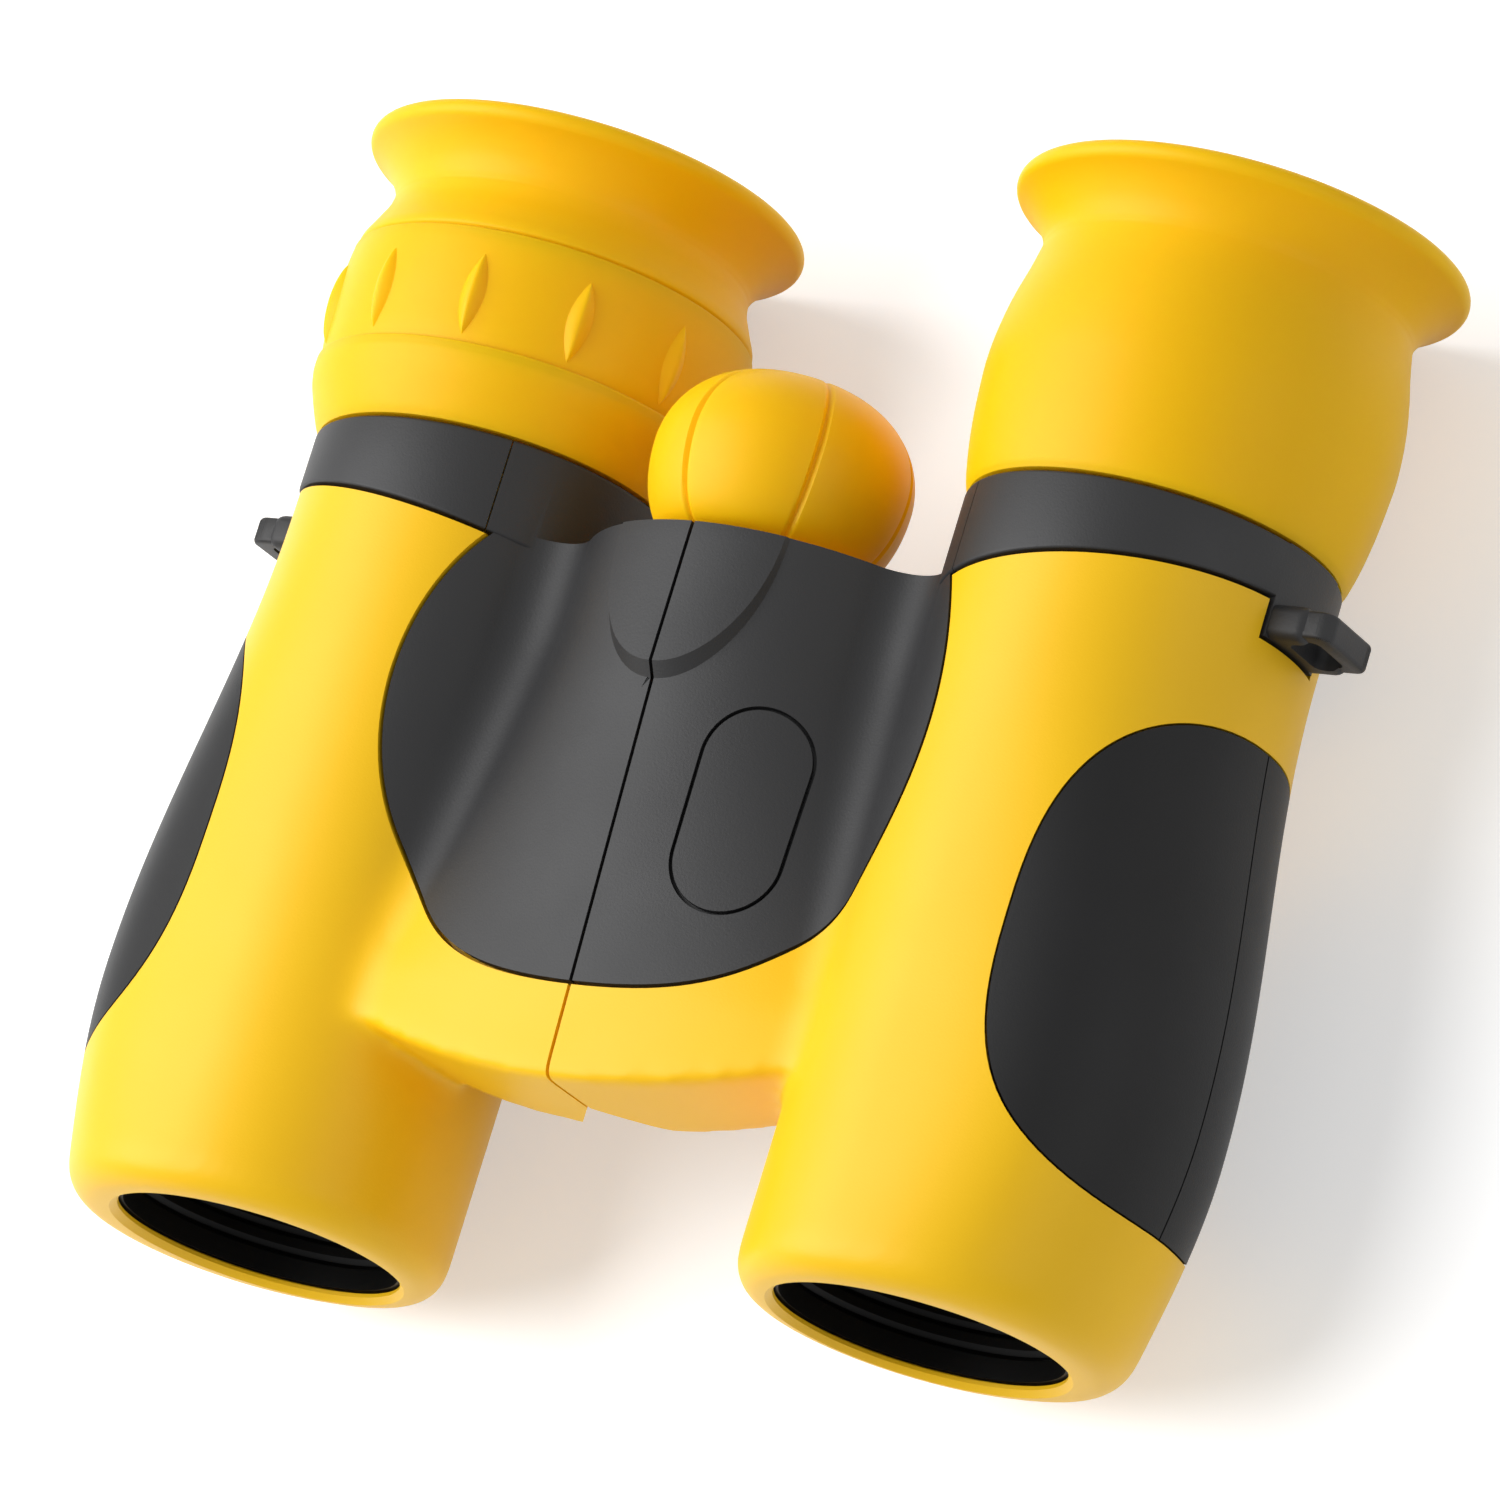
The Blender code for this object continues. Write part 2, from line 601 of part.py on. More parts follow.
def bridge(notch):
    """Half of the bridge: a hump over the hinge that runs down into the barrel, with a fold notch below."""
    half_gap = SPLIT_GAP / 2
    corner = half_gap + math.tan(notch) * (HINGE_RISE - BRIDGE_FLOOR)
    inside = AXIS_X - BORE_RADIUS / 2
    outline = top_line(0.0, VALLEY_RISE_OVER)
    outline += [(inside, outline[-1][1] - RIM_ROUNDING), (inside, BRIDGE_FLOOR)]
    outline += [(corner, BRIDGE_FLOOR), (half_gap, HINGE_RISE)]
    obj = raise_valley(section("bridge", outline, BRIDGE_FRONT, BRIDGE_REAR))
    shape = bmesh.new()
    shape.from_mesh(obj.data)
    top = AXIS_Z + HINGE_RISE
    edges = []
    for edge in shape.edges:
        ends = [vertex.co for vertex in edge.verts]
        at_front = all(abs(co.y - back(BRIDGE_FRONT)) < TOUCH for co in ends)
        if at_front and all(co.z > top + half_gap and co.x < inside - half_gap for co in ends):
            edges.append(edge)
    bmesh.ops.bevel(shape, geom=edges, offset=BRIDGE_ROUNDING, segments=2, profile=0.5, affect="EDGES")
    shape.to_mesh(obj.data)
    shape.free()
    return obj


def cover_column(spare):
    """The round outline of a cover in plan, cut off at the rear of the bridge."""
    rear = COVER_REAR + spare
    radius = COVER_RADIUS + spare
    end = math.asin((rear - COVER_STATION) / radius)
    outline = arc((0.0, COVER_STATION), radius, -math.pi / 2, end, COVER_STEPS)
    return plan("cover_outline", outline + [(0.0, rear)])


def badge_column(spare):
    """The outline of the badge, with round ends, as a column square to the slope it lies on."""
    half = (BADGE_WIDTH / 2) + spare
    straight = BADGE_LENGTH / 2 - BADGE_WIDTH / 2
    outline = arc((0.0, straight), half, 0.0, math.pi, END_STEPS)
    outline += arc((0.0, -straight), half, math.pi, math.tau, END_STEPS)
    height = HUMP_CENTRE.y + math.sqrt(HUMP_RADIUS ** 2 - BADGE_OFFSET ** 2)
    height += valley_lift(BADGE_OFFSET, BADGE_STATION)
    place = Matrix.Translation((BADGE_OFFSET, back(BADGE_STATION), AXIS_Z + height))
    place = place @ Matrix.Rotation(BADGE_TILT, 4, "Y") @ Matrix.Translation((0.0, 0.0, -CUT_MARGIN))
    return prism("badge_outline", outline, 2 * CUT_MARGIN, place)


def knuckle(station):
    return rod("knuckle", station, station + KNUCKLE_LENGTH, KNUCKLE_RADIUS, 0.0, HINGE_Z, INNER_STEPS)


def knuckle_room(front, rear):
    radius = KNUCKLE_RADIUS + SEAT_GAP
    return rod("knuckle_room", front, rear, radius, 0.0, HINGE_Z, INNER_STEPS)


def hinge_line(name, front, rear, radius, steps=PIN_STEPS):
    return rod(name, front, rear, radius, 0.0, HINGE_Z, steps)


def screw_way(low, high, radius):
    """An upright hole or boss at a cover's screw."""
    place = Matrix.Translation((COVER_SCREW_OFFSET, back(COVER_SCREW_STATION), AXIS_Z + low))
    outline = arc((0.0, 0.0), radius, 0.0, math.tau, PIN_STEPS)[:-1]
    return prism("screw_way", outline, high - low, place)


def arm_room(station, spare, travel):
    """The slot that lets a focus arm reach its objective cell."""
    half = ARM_WIDTH / 2 + spare + travel
    height = HINGE_Z - ARM_DROP
    low = (NUT_RADIUS, station - half, height - ARM_HEIGHT / 2 - spare)
    high = (AXIS_X - BORE_RADIUS / 2, station + half, height + ARM_HEIGHT / 2 + spare)
    return box("arm_room", low, high)


def barrel_shell(side):
    """A barrel with its half of the bridge, its hinge knuckles and the seats for what it carries."""
    notch = RIGHT_NOTCH if side == "right" else LEFT_NOTCH
    arm = RIGHT_ARM_STATION if side == "right" else LEFT_ARM_STATION
    shell = join(barrel_body(), bridge(notch))
    seat = COVER_THICKNESS + SEAT_GAP
    recess = band("recess", CUT_MARGIN, seat, BRIDGE_FRONT, BRIDGE_REAR + 2 * CUT_MARGIN)
    cut(shell, trim(recess, cover_column(SEAT_GAP)))
    outer = BARREL_RADIUS + CUT_MARGIN
    cut(shell, collar_ring("seat", outer, NECK_RADIUS, COLLAR_STATION - SEAT_GAP, COLLAR_REAR + CUT_MARGIN))
    cut(shell, lug_stretch("lug_room", BARREL_RADIUS + LUG_REACH, NECK_RADIUS, SEAT_GAP))
    pocket = grip_layer("pocket", GRIP_THICKNESS + SEAT_GAP, CUT_MARGIN)
    cut(shell, trim(pocket, grip_wedge("pocket_outline", SEAT_GAP)))
    cut(shell, bore_cutter())
    cut(shell, hinge_line("cavity", CAVITY_FRONT, REAR_KNUCKLE - SEAT_GAP, CAVITY_RADIUS, INNER_STEPS))
    half_gap = SEAT_GAP / 2
    if side == "right":
        own = (FRONT_KNUCKLE + KNUCKLE_STEP, REAR_KNUCKLE)
        rooms = (
            (FRONT_KNUCKLE - SEAT_GAP, own[0] + half_gap),
            (own[1] + KNUCKLE_LENGTH - half_gap, BRIDGE_REAR + CUT_MARGIN),
        )
    else:
        own = (FRONT_KNUCKLE, REAR_KNUCKLE + KNUCKLE_STEP)
        rooms = (
            (own[0] + KNUCKLE_LENGTH - half_gap, CAVITY_FRONT + half_gap),
            (REAR_KNUCKLE - 2 * SEAT_GAP, own[1] + half_gap),
        )
    for room in rooms:
        cut(shell, knuckle_room(*room))
    for station in own:
        join(shell, knuckle(station))
    pin_front = FRONT_KNUCKLE - SEAT_GAP
    cut(shell, hinge_line("pin_hole", pin_front, CAVITY_FRONT + SEAT_GAP, PIN_HOLE))
    cut(shell, hinge_line("bush_hole", REAR_KNUCKLE - 2 * SEAT_GAP, BRIDGE_REAR + CUT_MARGIN, BUSH_HOLE))
    cut(shell, arm_room(arm, SEAT_GAP, FOCUS_TRAVEL))
    head = SCREW_HEAD_RADIUS + RUN_GAP
    boss = SCREW_RADIUS + RUN_GAP + BOSS_WALL + SEAT_GAP
    cut(shell, screw_way(BRIDGE_FLOOR - CUT_MARGIN, BRIDGE_FLOOR + SCREW_HEAD_HEIGHT + SEAT_GAP, head))
    cut(shell, screw_way(BRIDGE_FLOOR, HUMP_HEIGHT, SCREW_RADIUS + RUN_GAP))
    cut(shell, screw_way(BRIDGE_FLOOR + BOSS_DROP - SEAT_GAP, HUMP_HEIGHT, boss))
    return shell


def grip_layer(name, sunk, raised):
    """The layer of a barrel's outside that a side grip fills."""
    front = GRIP_STATION - GRIP_HALF_LENGTH - CUT_MARGIN
    rear = GRIP_STATION + GRIP_HALF_LENGTH + CUT_MARGIN
    stations = [s for s in swell_stations() if front + CUT_MARGIN / 2 < s < rear - CUT_MARGIN / 2]
    stations = [front] + stations + [rear]
    outline = [(station, BARREL_RADIUS + raised) for station in stations]
    outline += [(station, BARREL_RADIUS - sunk) for station in reversed(stations)]
    return swell_out(turned(name, outline, steps=SHELL_STEPS), BORE_RADIUS / 2)


def side_grip():
    return trim(grip_layer("grip", GRIP_THICKNESS, 0.0), grip_wedge("grip_outline", 0.0))


def cover(side):
    """A dark top cover: a curved plate, a raised thumb pad and the inner stretch of the collar."""
    rear = BRIDGE_REAR + 2 * CUT_MARGIN
    plate = trim(band("cover", 0.0, COVER_THICKNESS, BRIDGE_FRONT, rear), cover_column(0.0))
    pad = band("pad", PAD_HEIGHT, COVER_THICKNESS / 2, BRIDGE_FRONT, BRIDGE_REAR)
    far = BRIDGE_REAR + COVER_LIP / 2
    quarter = arc((0.0, 0.0), 1.0, -math.pi / 2, 0.0, END_STEPS)
    ellipse = [(x * PAD_HALF_WIDTH, far + y * PAD_LENGTH) for x, y in quarter]
    join(plate, trim(pad, plan("pad_outline", ellipse + [(0.0, far)])))
    boss = SCREW_RADIUS + RUN_GAP + BOSS_WALL
    valley = valley_centre().y - VALLEY_RADIUS
    join(plate, screw_way(BRIDGE_FLOOR + BOSS_DROP, valley, boss))
    ring = collar_ring("inner_collar", COLLAR_RADIUS, COLLAR_BORE, COLLAR_STATION, COLLAR_REAR)
    join(plate, trim(ring, seated_sector("inner_part", SEAM_ANGLE)))
    cut(plate, screw_way(BRIDGE_FLOOR, valley - COVER_THICKNESS, SCREW_RADIUS + RUN_GAP))
    if side == "left":
        cut(plate, badge_column(RUN_GAP))
    return plate


def badge():
    sunk = COVER_THICKNESS - RUN_GAP
    return trim(band("badge", 0.0, sunk, BRIDGE_FRONT, BRIDGE_REAR), badge_column(0.0))


def cover_screw():
    screw = screw_way(BRIDGE_FLOOR + RUN_GAP, BRIDGE_FLOOR + SCREW_HEAD_HEIGHT, SCREW_HEAD_RADIUS)
    top = valley_centre().y - VALLEY_RADIUS - COVER_THICKNESS - RUN_GAP
    return join(screw, screw_way(BRIDGE_FLOOR + SCREW_HEAD_HEIGHT / 2, top, SCREW_RADIUS))


def lug_stretch(name, outer, inner, gap):
    """The stretch of a ring, in line with the strap lug, that carries the lug on its front end."""
    stretch = tube(name, LUG_FRONT - gap, COLLAR_REAR, outer, inner, steps=SHELL_STEPS)
    half = LUG_HEIGHT / 2 + gap
    low = (AXIS_X, LUG_FRONT - gap - CUT_MARGIN, AXIS_Z - half)
    high = (AXIS_X + outer + CUT_MARGIN, COLLAR_REAR + CUT_MARGIN, AXIS_Z + half)
    return trim(stretch, box(name + "_height", low, high))


def strap_collar():
    """The outer stretch of the collar band, with a slotted lug for a neck strap."""
    ring = collar_ring("collar", COLLAR_RADIUS, COLLAR_BORE, COLLAR_STATION, COLLAR_REAR)
    cut(ring, seated_sector("cover_part", SEAM_ANGLE + SEAT_GAP / BARREL_RADIUS))
    join(ring, lug_stretch("tab", COLLAR_RADIUS, COLLAR_BORE, 0.0))
    half = LUG_HEIGHT / 2
    reach = AXIS_X + BARREL_RADIUS + LUG_REACH
    low = (AXIS_X + COLLAR_BORE + COLLAR_PROUD, LUG_FRONT, AXIS_Z - half)
    high = (reach, LUG_FRONT + LUG_THICKNESS, AXIS_Z + half)
    join(ring, box("lug", low, high, LUG_WALL / 4))
    slot_half = half - LUG_WALL
    low = (AXIS_X + COLLAR_RADIUS + LUG_WALL / 2, LUG_FRONT - CUT_MARGIN, AXIS_Z - slot_half)
    high = (reach - LUG_WALL, LUG_FRONT + LUG_THICKNESS + CUT_MARGIN, AXIS_Z + slot_half)
    return cut(ring, box("slot", low, high))


def rim_outline():
    """The flared end of an eyecup, from its waist over the rim and into the recess."""
    edge = EYECUP_RIM_EDGE
    inner = EYECUP_RIM_RADIUS - edge - EYECUP_RIM_FLAT
    return [
        (EYECUP_REAR - edge, EYECUP_RIM_RADIUS),
        (EYECUP_REAR, EYECUP_RIM_RADIUS - edge),
        (EYECUP_REAR, inner),
        (EYECUP_THROAT, TUBE_RADIUS),
    ]


def outer_stretch(shares, front, rear):
    """The points of an eyepiece's outside that lie between two stations, with its radius at both ends."""
    outline = [(COLLAR_REAR, BARREL_RADIUS)]
    for share, out in shares:
        outline.append((COLLAR_REAR + share * EYECUP_LENGTH, BARREL_RADIUS + out * EYECUP_SWELL))

    def radius_at(station):
        for (s0, r0), (s1, r1) in zip(outline, outline[1:]):
            if s0 <= station <= s1:
                return r0 + (r1 - r0) * (station - s0) / (s1 - s0)
        return outline[-1][1]

    inside = [point for point in outline if front + RUN_GAP < point[0] < rear - RUN_GAP]
    return [(front, radius_at(front))] + inside + [(rear, radius_at(rear))]


def flared_outline(shares, front):
    """The outside of an eyecup from a station back, then its rim and its funnel."""
    flare = COLLAR_REAR + shares[-1][0] * EYECUP_LENGTH
    return outer_stretch(shares, front, flare) + rim_outline()


def left_eyecup():
    seat = TUBE_RADIUS + SEAT_GAP
    outline = flared_outline(LEFT_OUTLINE, EYEPIECE_FRONT)
    outline += [(TUBE_REAR + SEAT_GAP, TUBE_RADIUS), (TUBE_REAR + SEAT_GAP, seat), (EYEPIECE_FRONT, seat)]
    return turned("eyecup", outline, steps=SHELL_STEPS)


def right_eyecup():
    front = DIOPTER_REAR + SEAT_GAP
    outline = flared_outline(RIGHT_OUTLINE, front)
    return turned("eyecup", outline + [(front, TUBE_RADIUS)], steps=SHELL_STEPS)


def eyepiece_tube():
    """The fixed left eyepiece tube, plugged into the neck of the barrel."""
    outline = (
        (PLUG_FRONT, CELL_RADIUS),
        (EYEPIECE_FRONT, CELL_RADIUS),
        (EYEPIECE_FRONT, TUBE_RADIUS),
        (TUBE_REAR, TUBE_RADIUS),
        (TUBE_REAR, OCULAR_BORE),
        (PLUG_FRONT, OCULAR_BORE),
    )
    return turned("eyepiece_tube", outline)


def eyepiece_base():
    """The fixed base of the right eyepiece, which the diopter ring turns on."""
    rear = DIOPTER_FRONT - SEAT_GAP
    end = DIOPTER_REAR - 2 * DIOPTER_TRAVEL
    outline = [(PLUG_FRONT, CELL_RADIUS), (EYEPIECE_FRONT, CELL_RADIUS)]
    outline += outer_stretch(RIGHT_OUTLINE, EYEPIECE_FRONT, rear)
    bore = OCULAR_RADIUS + RUN_GAP
    outline += [(rear, TUBE_RADIUS), (end, TUBE_RADIUS), (end, bore), (PLUG_FRONT, bore)]
    return turned("eyepiece_base", outline, steps=SHELL_STEPS)


def ocular_tube():
    """The sliding right eyepiece tube inside the base."""
    front = PLUG_FRONT + DIOPTER_TRAVEL
    return tube("ocular_tube", front, TUBE_REAR, OCULAR_RADIUS, OCULAR_BORE)


def diopter_ring():
    outline = outer_stretch(RIGHT_OUTLINE, DIOPTER_FRONT, DIOPTER_REAR)
    bore = TUBE_RADIUS + RUN_GAP
    outline += [(DIOPTER_REAR, bore), (DIOPTER_FRONT, bore)]
    ring = turned("diopter_ring", outline, steps=SHELL_STEPS)
    middle = DIOPTER_FRONT + RIB_SETBACK
    crest = max(radius for _, radius in outline)
    for i in range(RIB_COUNT):
        join(ring, diopter_rib(crest, middle, math.tau * (i + 0.5) / RIB_COUNT))
    return ring


def diopter_rib(crest, station, angle):
    """A pointed rib on the diopter ring, longer than it is wide."""
    shape = bmesh.new()
    bmesh.ops.create_uvsphere(shape, u_segments=6, v_segments=4, radius=1.0)
    sink = RIB_WIDTH
    size = Matrix.Diagonal((RIB_WIDTH / 2, RIB_LENGTH / 2, RIB_PROUD + sink, 1.0))
    turn = Matrix.Rotation(angle, 4, "Y")
    upright = Matrix.Rotation(math.pi / 2, 4, "X")
    place = Matrix.Translation((AXIS_X, back(station), AXIS_Z)) @ turn
    lift = Matrix.Translation((0.0, 0.0, crest - sink))
    bmesh.ops.transform(shape, matrix=place @ lift @ size @ upright, verts=shape.verts)
    mesh = bpy.data.meshes.new("rib")
    shape.to_mesh(mesh)
    shape.free()
    return object_from("rib", mesh)


def lens(name, front, thickness, radius, bulge):
    """A lens with both faces curved, from its edge's front station."""
    ahead = [(front - bulge * (1 - share ** 2), radius * share) for share in (0.0, 0.5, 1.0)]
    behind = [(front + thickness + bulge * (1 - share ** 2), radius * share) for share in (1.0, 0.5, 0.0)]
    return turned(name, ahead + behind)


def objective_cell(arm_station):
    """The sliding tube that holds an objective, with a hole for its focus arm."""
    lip = LENS_RADIUS - CELL_WALL / 2
    outline = (
        (CELL_FRONT, CELL_RADIUS),
        (CELL_REAR, CELL_RADIUS),
        (CELL_REAR, CELL_BORE),
        (CELL_FRONT + CELL_LIP, CELL_BORE),
        (CELL_FRONT + CELL_LIP, lip),
        (CELL_FRONT, lip),
    )
    return cut(turned("cell", outline), arm_room(arm_station, SEAT_GAP, 0.0))


def objective_lens():
    front = CELL_FRONT + CELL_LIP + SEAT_GAP
    return lens("objective", front, OBJECTIVE_THICKNESS, LENS_RADIUS, OBJECTIVE_BULGE)


def lens_retainer():
    front = CELL_FRONT + CELL_LIP + OBJECTIVE_THICKNESS + 2 * SEAT_GAP
    outer = CELL_BORE - RUN_GAP
    return tube("retainer", front, front + RETAINER_LENGTH, outer, outer - RETAINER_WALL)


def front_liner():
    """The dark ring behind the lip of the front opening."""
    return tube("liner", LINER_REAR - LINER_LENGTH, LINER_REAR, CELL_RADIUS, CELL_RADIUS - LINER_WALL)


def eyepiece_lens(name, rear, thickness):
    radius = OCULAR_BORE - RUN_GAP
    return lens(name, rear - thickness - EYE_LENS_BULGE, thickness, radius, EYE_LENS_BULGE)


def prism_cage():
    """The round block that holds both prisms, open at the top and bored for the light."""
    cage = rod("cage", CAGE_FRONT, CAGE_REAR, CELL_RADIUS)
    half = PRISM_HALF_WIDTH + SEAT_GAP
    low = (AXIS_X - half, CAGE_FRONT + CAGE_WALL, AXIS_Z - half)
    high = (AXIS_X + half, CAGE_REAR - CAGE_WALL, AXIS_Z + BARREL_RADIUS)
    cut(cage, box("pocket", low, high))
    return cut(cage, rod("light", CAGE_FRONT - CUT_MARGIN, CAGE_REAR + CUT_MARGIN, LIGHT_HOLE_RADIUS))


def prism_solid(name, outline):
    """A prism from an outline of (station, height above the barrel's axis)."""
    turn = Matrix.Rotation(math.pi / 2, 4, "X")
    place = Matrix.Translation((AXIS_X - PRISM_HALF_WIDTH, back(0.0), AXIS_Z))
    place = place @ Matrix.Rotation(-math.pi / 2, 4, "Z") @ turn
    return prism(name, outline, -2 * PRISM_HALF_WIDTH, place)


def prism_ends():
    return CAGE_FRONT + CAGE_WALL + SEAT_GAP, CAGE_REAR - CAGE_WALL - SEAT_GAP


def half_penta_prism():
    front, rear = prism_ends()
    half = PRISM_HALF_WIDTH
    middle = (front + rear - PRISM_AIR_GAP) / 2
    outline = ((front, -half), (middle + PRISM_SLOPE, -half), (middle - PRISM_SLOPE, half), (front, half))
    return prism_solid("half_penta", outline)


def roof_prism():
    """The second prism, whose top is a roof of two faces that meet over the light's path."""
    front, rear = prism_ends()
    half = PRISM_HALF_WIDTH
    middle = (front + rear + PRISM_AIR_GAP) / 2
    outline = ((middle + PRISM_SLOPE, -half), (rear, -half), (rear, half), (middle - PRISM_SLOPE, half))
    obj = prism_solid("roof", outline)
    shape = bmesh.new()
    shape.from_mesh(obj.data)
    for aside in (-1.0, 1.0):
        ridge = (AXIS_X, 0.0, AXIS_Z + half)
        faces = shape.verts[:] + shape.edges[:] + shape.faces[:]
        sliced = bmesh.ops.bisect_plane(
            shape, geom=faces, plane_co=ridge, plane_no=(aside, 0.0, 1.0), clear_outer=True
        )
        rim = [item for item in sliced["geom_cut"] if isinstance(item, bmesh.types.BMEdge)]
        bmesh.ops.holes_fill(shape, edges=rim)
    bmesh.ops.recalc_face_normals(shape, faces=shape.faces)
    shape.to_mesh(obj.data)
    shape.free()
    return obj


def focus_arm(station):
    """An arm with a ring round the focus nut and a bar that reaches into the objective cell."""
    half = ARM_WIDTH / 2
    ring = tube("arm", station - half, station + half, ARM_HOLE + ARM_RING_WALL, ARM_HOLE, 0.0, HINGE_Z)
    height = HINGE_Z - ARM_DROP
    drop = height - AXIS_Z
    seat = AXIS_X - math.sqrt(CELL_RADIUS ** 2 - drop ** 2)
    low = (ARM_HOLE + ARM_RING_WALL / 2, station - half + RUN_GAP / 2, height - ARM_HEIGHT / 2)
    high = (seat + CELL_WALL / 2, station + half - RUN_GAP / 2, height + ARM_HEIGHT / 2)
    return join(ring, box("bar", low, high))


def focus_nut():
    return tube("nut", NUT_FRONT, NUT_REAR, NUT_RADIUS, ROD_HOLE, 0.0, HINGE_Z)


def focus_wheel():
    """A rounded drum with a domed rear, finger grooves along it and a socket for the focus screw."""
    half = (WHEEL_REAR - WHEEL_FRONT) / 2
    middle = (WHEEL_REAR + WHEEL_FRONT) / 2
    curve = []
    for along, out in arc((0.0, 0.0), 1.0, math.pi, 0.0, WHEEL_CURVE_STEPS):
        end = WHEEL_FACE_RADIUS if along < 0 else WHEEL_REAR_RADIUS
        curve.append((middle + half * along, end + (WHEEL_RADIUS - end) * out))
    wheel = turned("wheel", [(WHEEL_FRONT, 0.0)] + curve + [(WHEEL_REAR, 0.0)], 0.0, HINGE_Z, WHEEL_STEPS)
    for vertex in wheel.data.vertices:
        aside = Vector((vertex.co.x, vertex.co.z - HINGE_Z))
        if aside.length < WHEEL_REAR_RADIUS + GROOVE_DEPTH:
            continue
        turn = math.atan2(aside.x, aside.y) * WHEEL_GROOVES / math.tau
        if abs(turn - round(turn)) < 1 / WHEEL_STEPS:
            sunk = aside * (1 - GROOVE_DEPTH / aside.length)
            vertex.co.x = sunk.x
            vertex.co.z = HINGE_Z + sunk.y
    socket_end = WHEEL_FRONT + WHEEL_SOCKET_DEPTH
    return cut(wheel, hinge_line("socket", WHEEL_FRONT - CUT_MARGIN, socket_end, ROD_HOLE))


def focus_screw():
    rear = WHEEL_FRONT + WHEEL_SOCKET_DEPTH - RUN_GAP
    return hinge_line("screw", SCREW_ROD_FRONT, rear, SCREW_ROD_RADIUS)


def focus_washer():
    front = BRIDGE_REAR + RUN_GAP
    return tube("washer", front, WHEEL_FRONT - RUN_GAP, WASHER_RADIUS, ROD_HOLE, 0.0, HINGE_Z)


def hinge_pin():
    return hinge_line("pin", FRONT_KNUCKLE, CAVITY_FRONT - SEAT_GAP, PIN_RADIUS)


def hinge_bush():
    rear = REAR_KNUCKLE + KNUCKLE_STEP + KNUCKLE_LENGTH
    return tube("bush", REAR_KNUCKLE, rear, BUSH_RADIUS, ROD_HOLE, 0.0, HINGE_Z, PIN_STEPS)


def finish(name):
    """A material for one piece, from its colour, roughness and metallic value."""
    colour, roughness, metallic = FINISHES[name]
    material = bpy.data.materials.new(name)
    material.use_nodes = True
    shader = material.node_tree.nodes["Principled BSDF"]
    shader.inputs["Base Color"].default_value = (*colour, 1.0)
    shader.inputs["Roughness"].default_value = roughness
    shader.inputs["Metallic"].default_value = metallic
    material.diffuse_color = (*colour, 1.0)
    return material


def axis_empty(name, x, y, z, parent=None):
    """An empty on a joint's axis, which carries the pieces that move there."""
    empty = bpy.data.objects.new(name, None)
    empty.empty_display_size = BARREL_RADIUS / 2
    parts.objects.link(empty)
    hold(empty, parent)
    empty.matrix_world = Matrix.Translation((x, y, z))
    bpy.context.view_layer.update()
    return empty


def hold(obj, parent):
    if parent:
        obj.parent = parent
        obj.matrix_parent_inverse = parent.matrix_world.inverted()


def fit_out(obj, name, parent):
    """Names a finished piece, gives it its material and hangs it on its joint."""
    obj.name = name
    obj.data.name = name
    obj.data.materials.clear()
    obj.data.materials.append(finish(name))
    obj.data.shade_smooth()
    obj.data.set_sharp_from_angle(angle=SHARP_ANGLE)
    hold(obj, parent)


FINISHES = {
    "badge": BLACK_PLASTIC,
    "hinge_front_pin": STEEL,
    "hinge_rear_bush": BRASS,
    "focus_wheel": YELLOW_RUBBER,
    "focus_screw": STEEL,
    "focus_washer": NYLON,
    "focus_nut": BRASS,
    "left_eyepiece_tube": INNER_BLACK,
    "right_eyepiece_base": YELLOW_RUBBER,
    "right_ocular_tube": INNER_BLACK,
    "diopter_ring": YELLOW_RUBBER,
}
for hand in ("left", "right"):
    FINISHES[f"{hand}_barrel_shell"] = YELLOW_PLASTIC
    FINISHES[f"{hand}_top_cover"] = BLACK_PLASTIC
    FINISHES[f"{hand}_strap_collar"] = BLACK_PLASTIC
    FINISHES[f"{hand}_side_grip"] = BLACK_RUBBER
    FINISHES[f"{hand}_eyecup"] = YELLOW_RUBBER
    FINISHES[f"{hand}_front_liner"] = INNER_BLACK
    FINISHES[f"{hand}_objective_cell"] = INNER_BLACK
    FINISHES[f"{hand}_lens_retainer"] = INNER_BLACK
    FINISHES[f"{hand}_focus_arm"] = STEEL
    FINISHES[f"{hand}_prism_cage"] = INNER_BLACK
    FINISHES[f"{hand}_cover_screw"] = STEEL
    for glass in ("objective_lens", "eye_lens", "field_lens", "half_penta_prism", "roof_prism"):
        FINISHES[f"{hand}_{glass}"] = GLASS


def build_half(side, holder):
    """The pieces that stay fixed in one half."""
    fixed = {
        "barrel_shell": barrel_shell(side),
        "top_cover": cover(side),
        "cover_screw": cover_screw(),
        "strap_collar": strap_collar(),
        "side_grip": side_grip(),
        "front_liner": front_liner(),
        "prism_cage": prism_cage(),
        "half_penta_prism": half_penta_prism(),
        "roof_prism": roof_prism(),
    }
    for name, obj in fixed.items():
        fit_out(handed(obj, side), f"{side}_{name}", holder)


def build_focus_slide(side, station, parent):
    """The pieces of one side that slide when the focus wheel turns."""
    sign = 1.0 if side == "right" else -1.0
    slide = axis_empty(f"{side}_focus_travel", sign * AXIS_X, back(station), AXIS_Z, parent)
    sliding = {
        "focus_arm": focus_arm(station),
        "objective_cell": objective_cell(station),
        "objective_lens": objective_lens(),
        "lens_retainer": lens_retainer(),
    }
    for name, obj in sliding.items():
        fit_out(handed(obj, side), f"{side}_{name}", slide)
    return slide


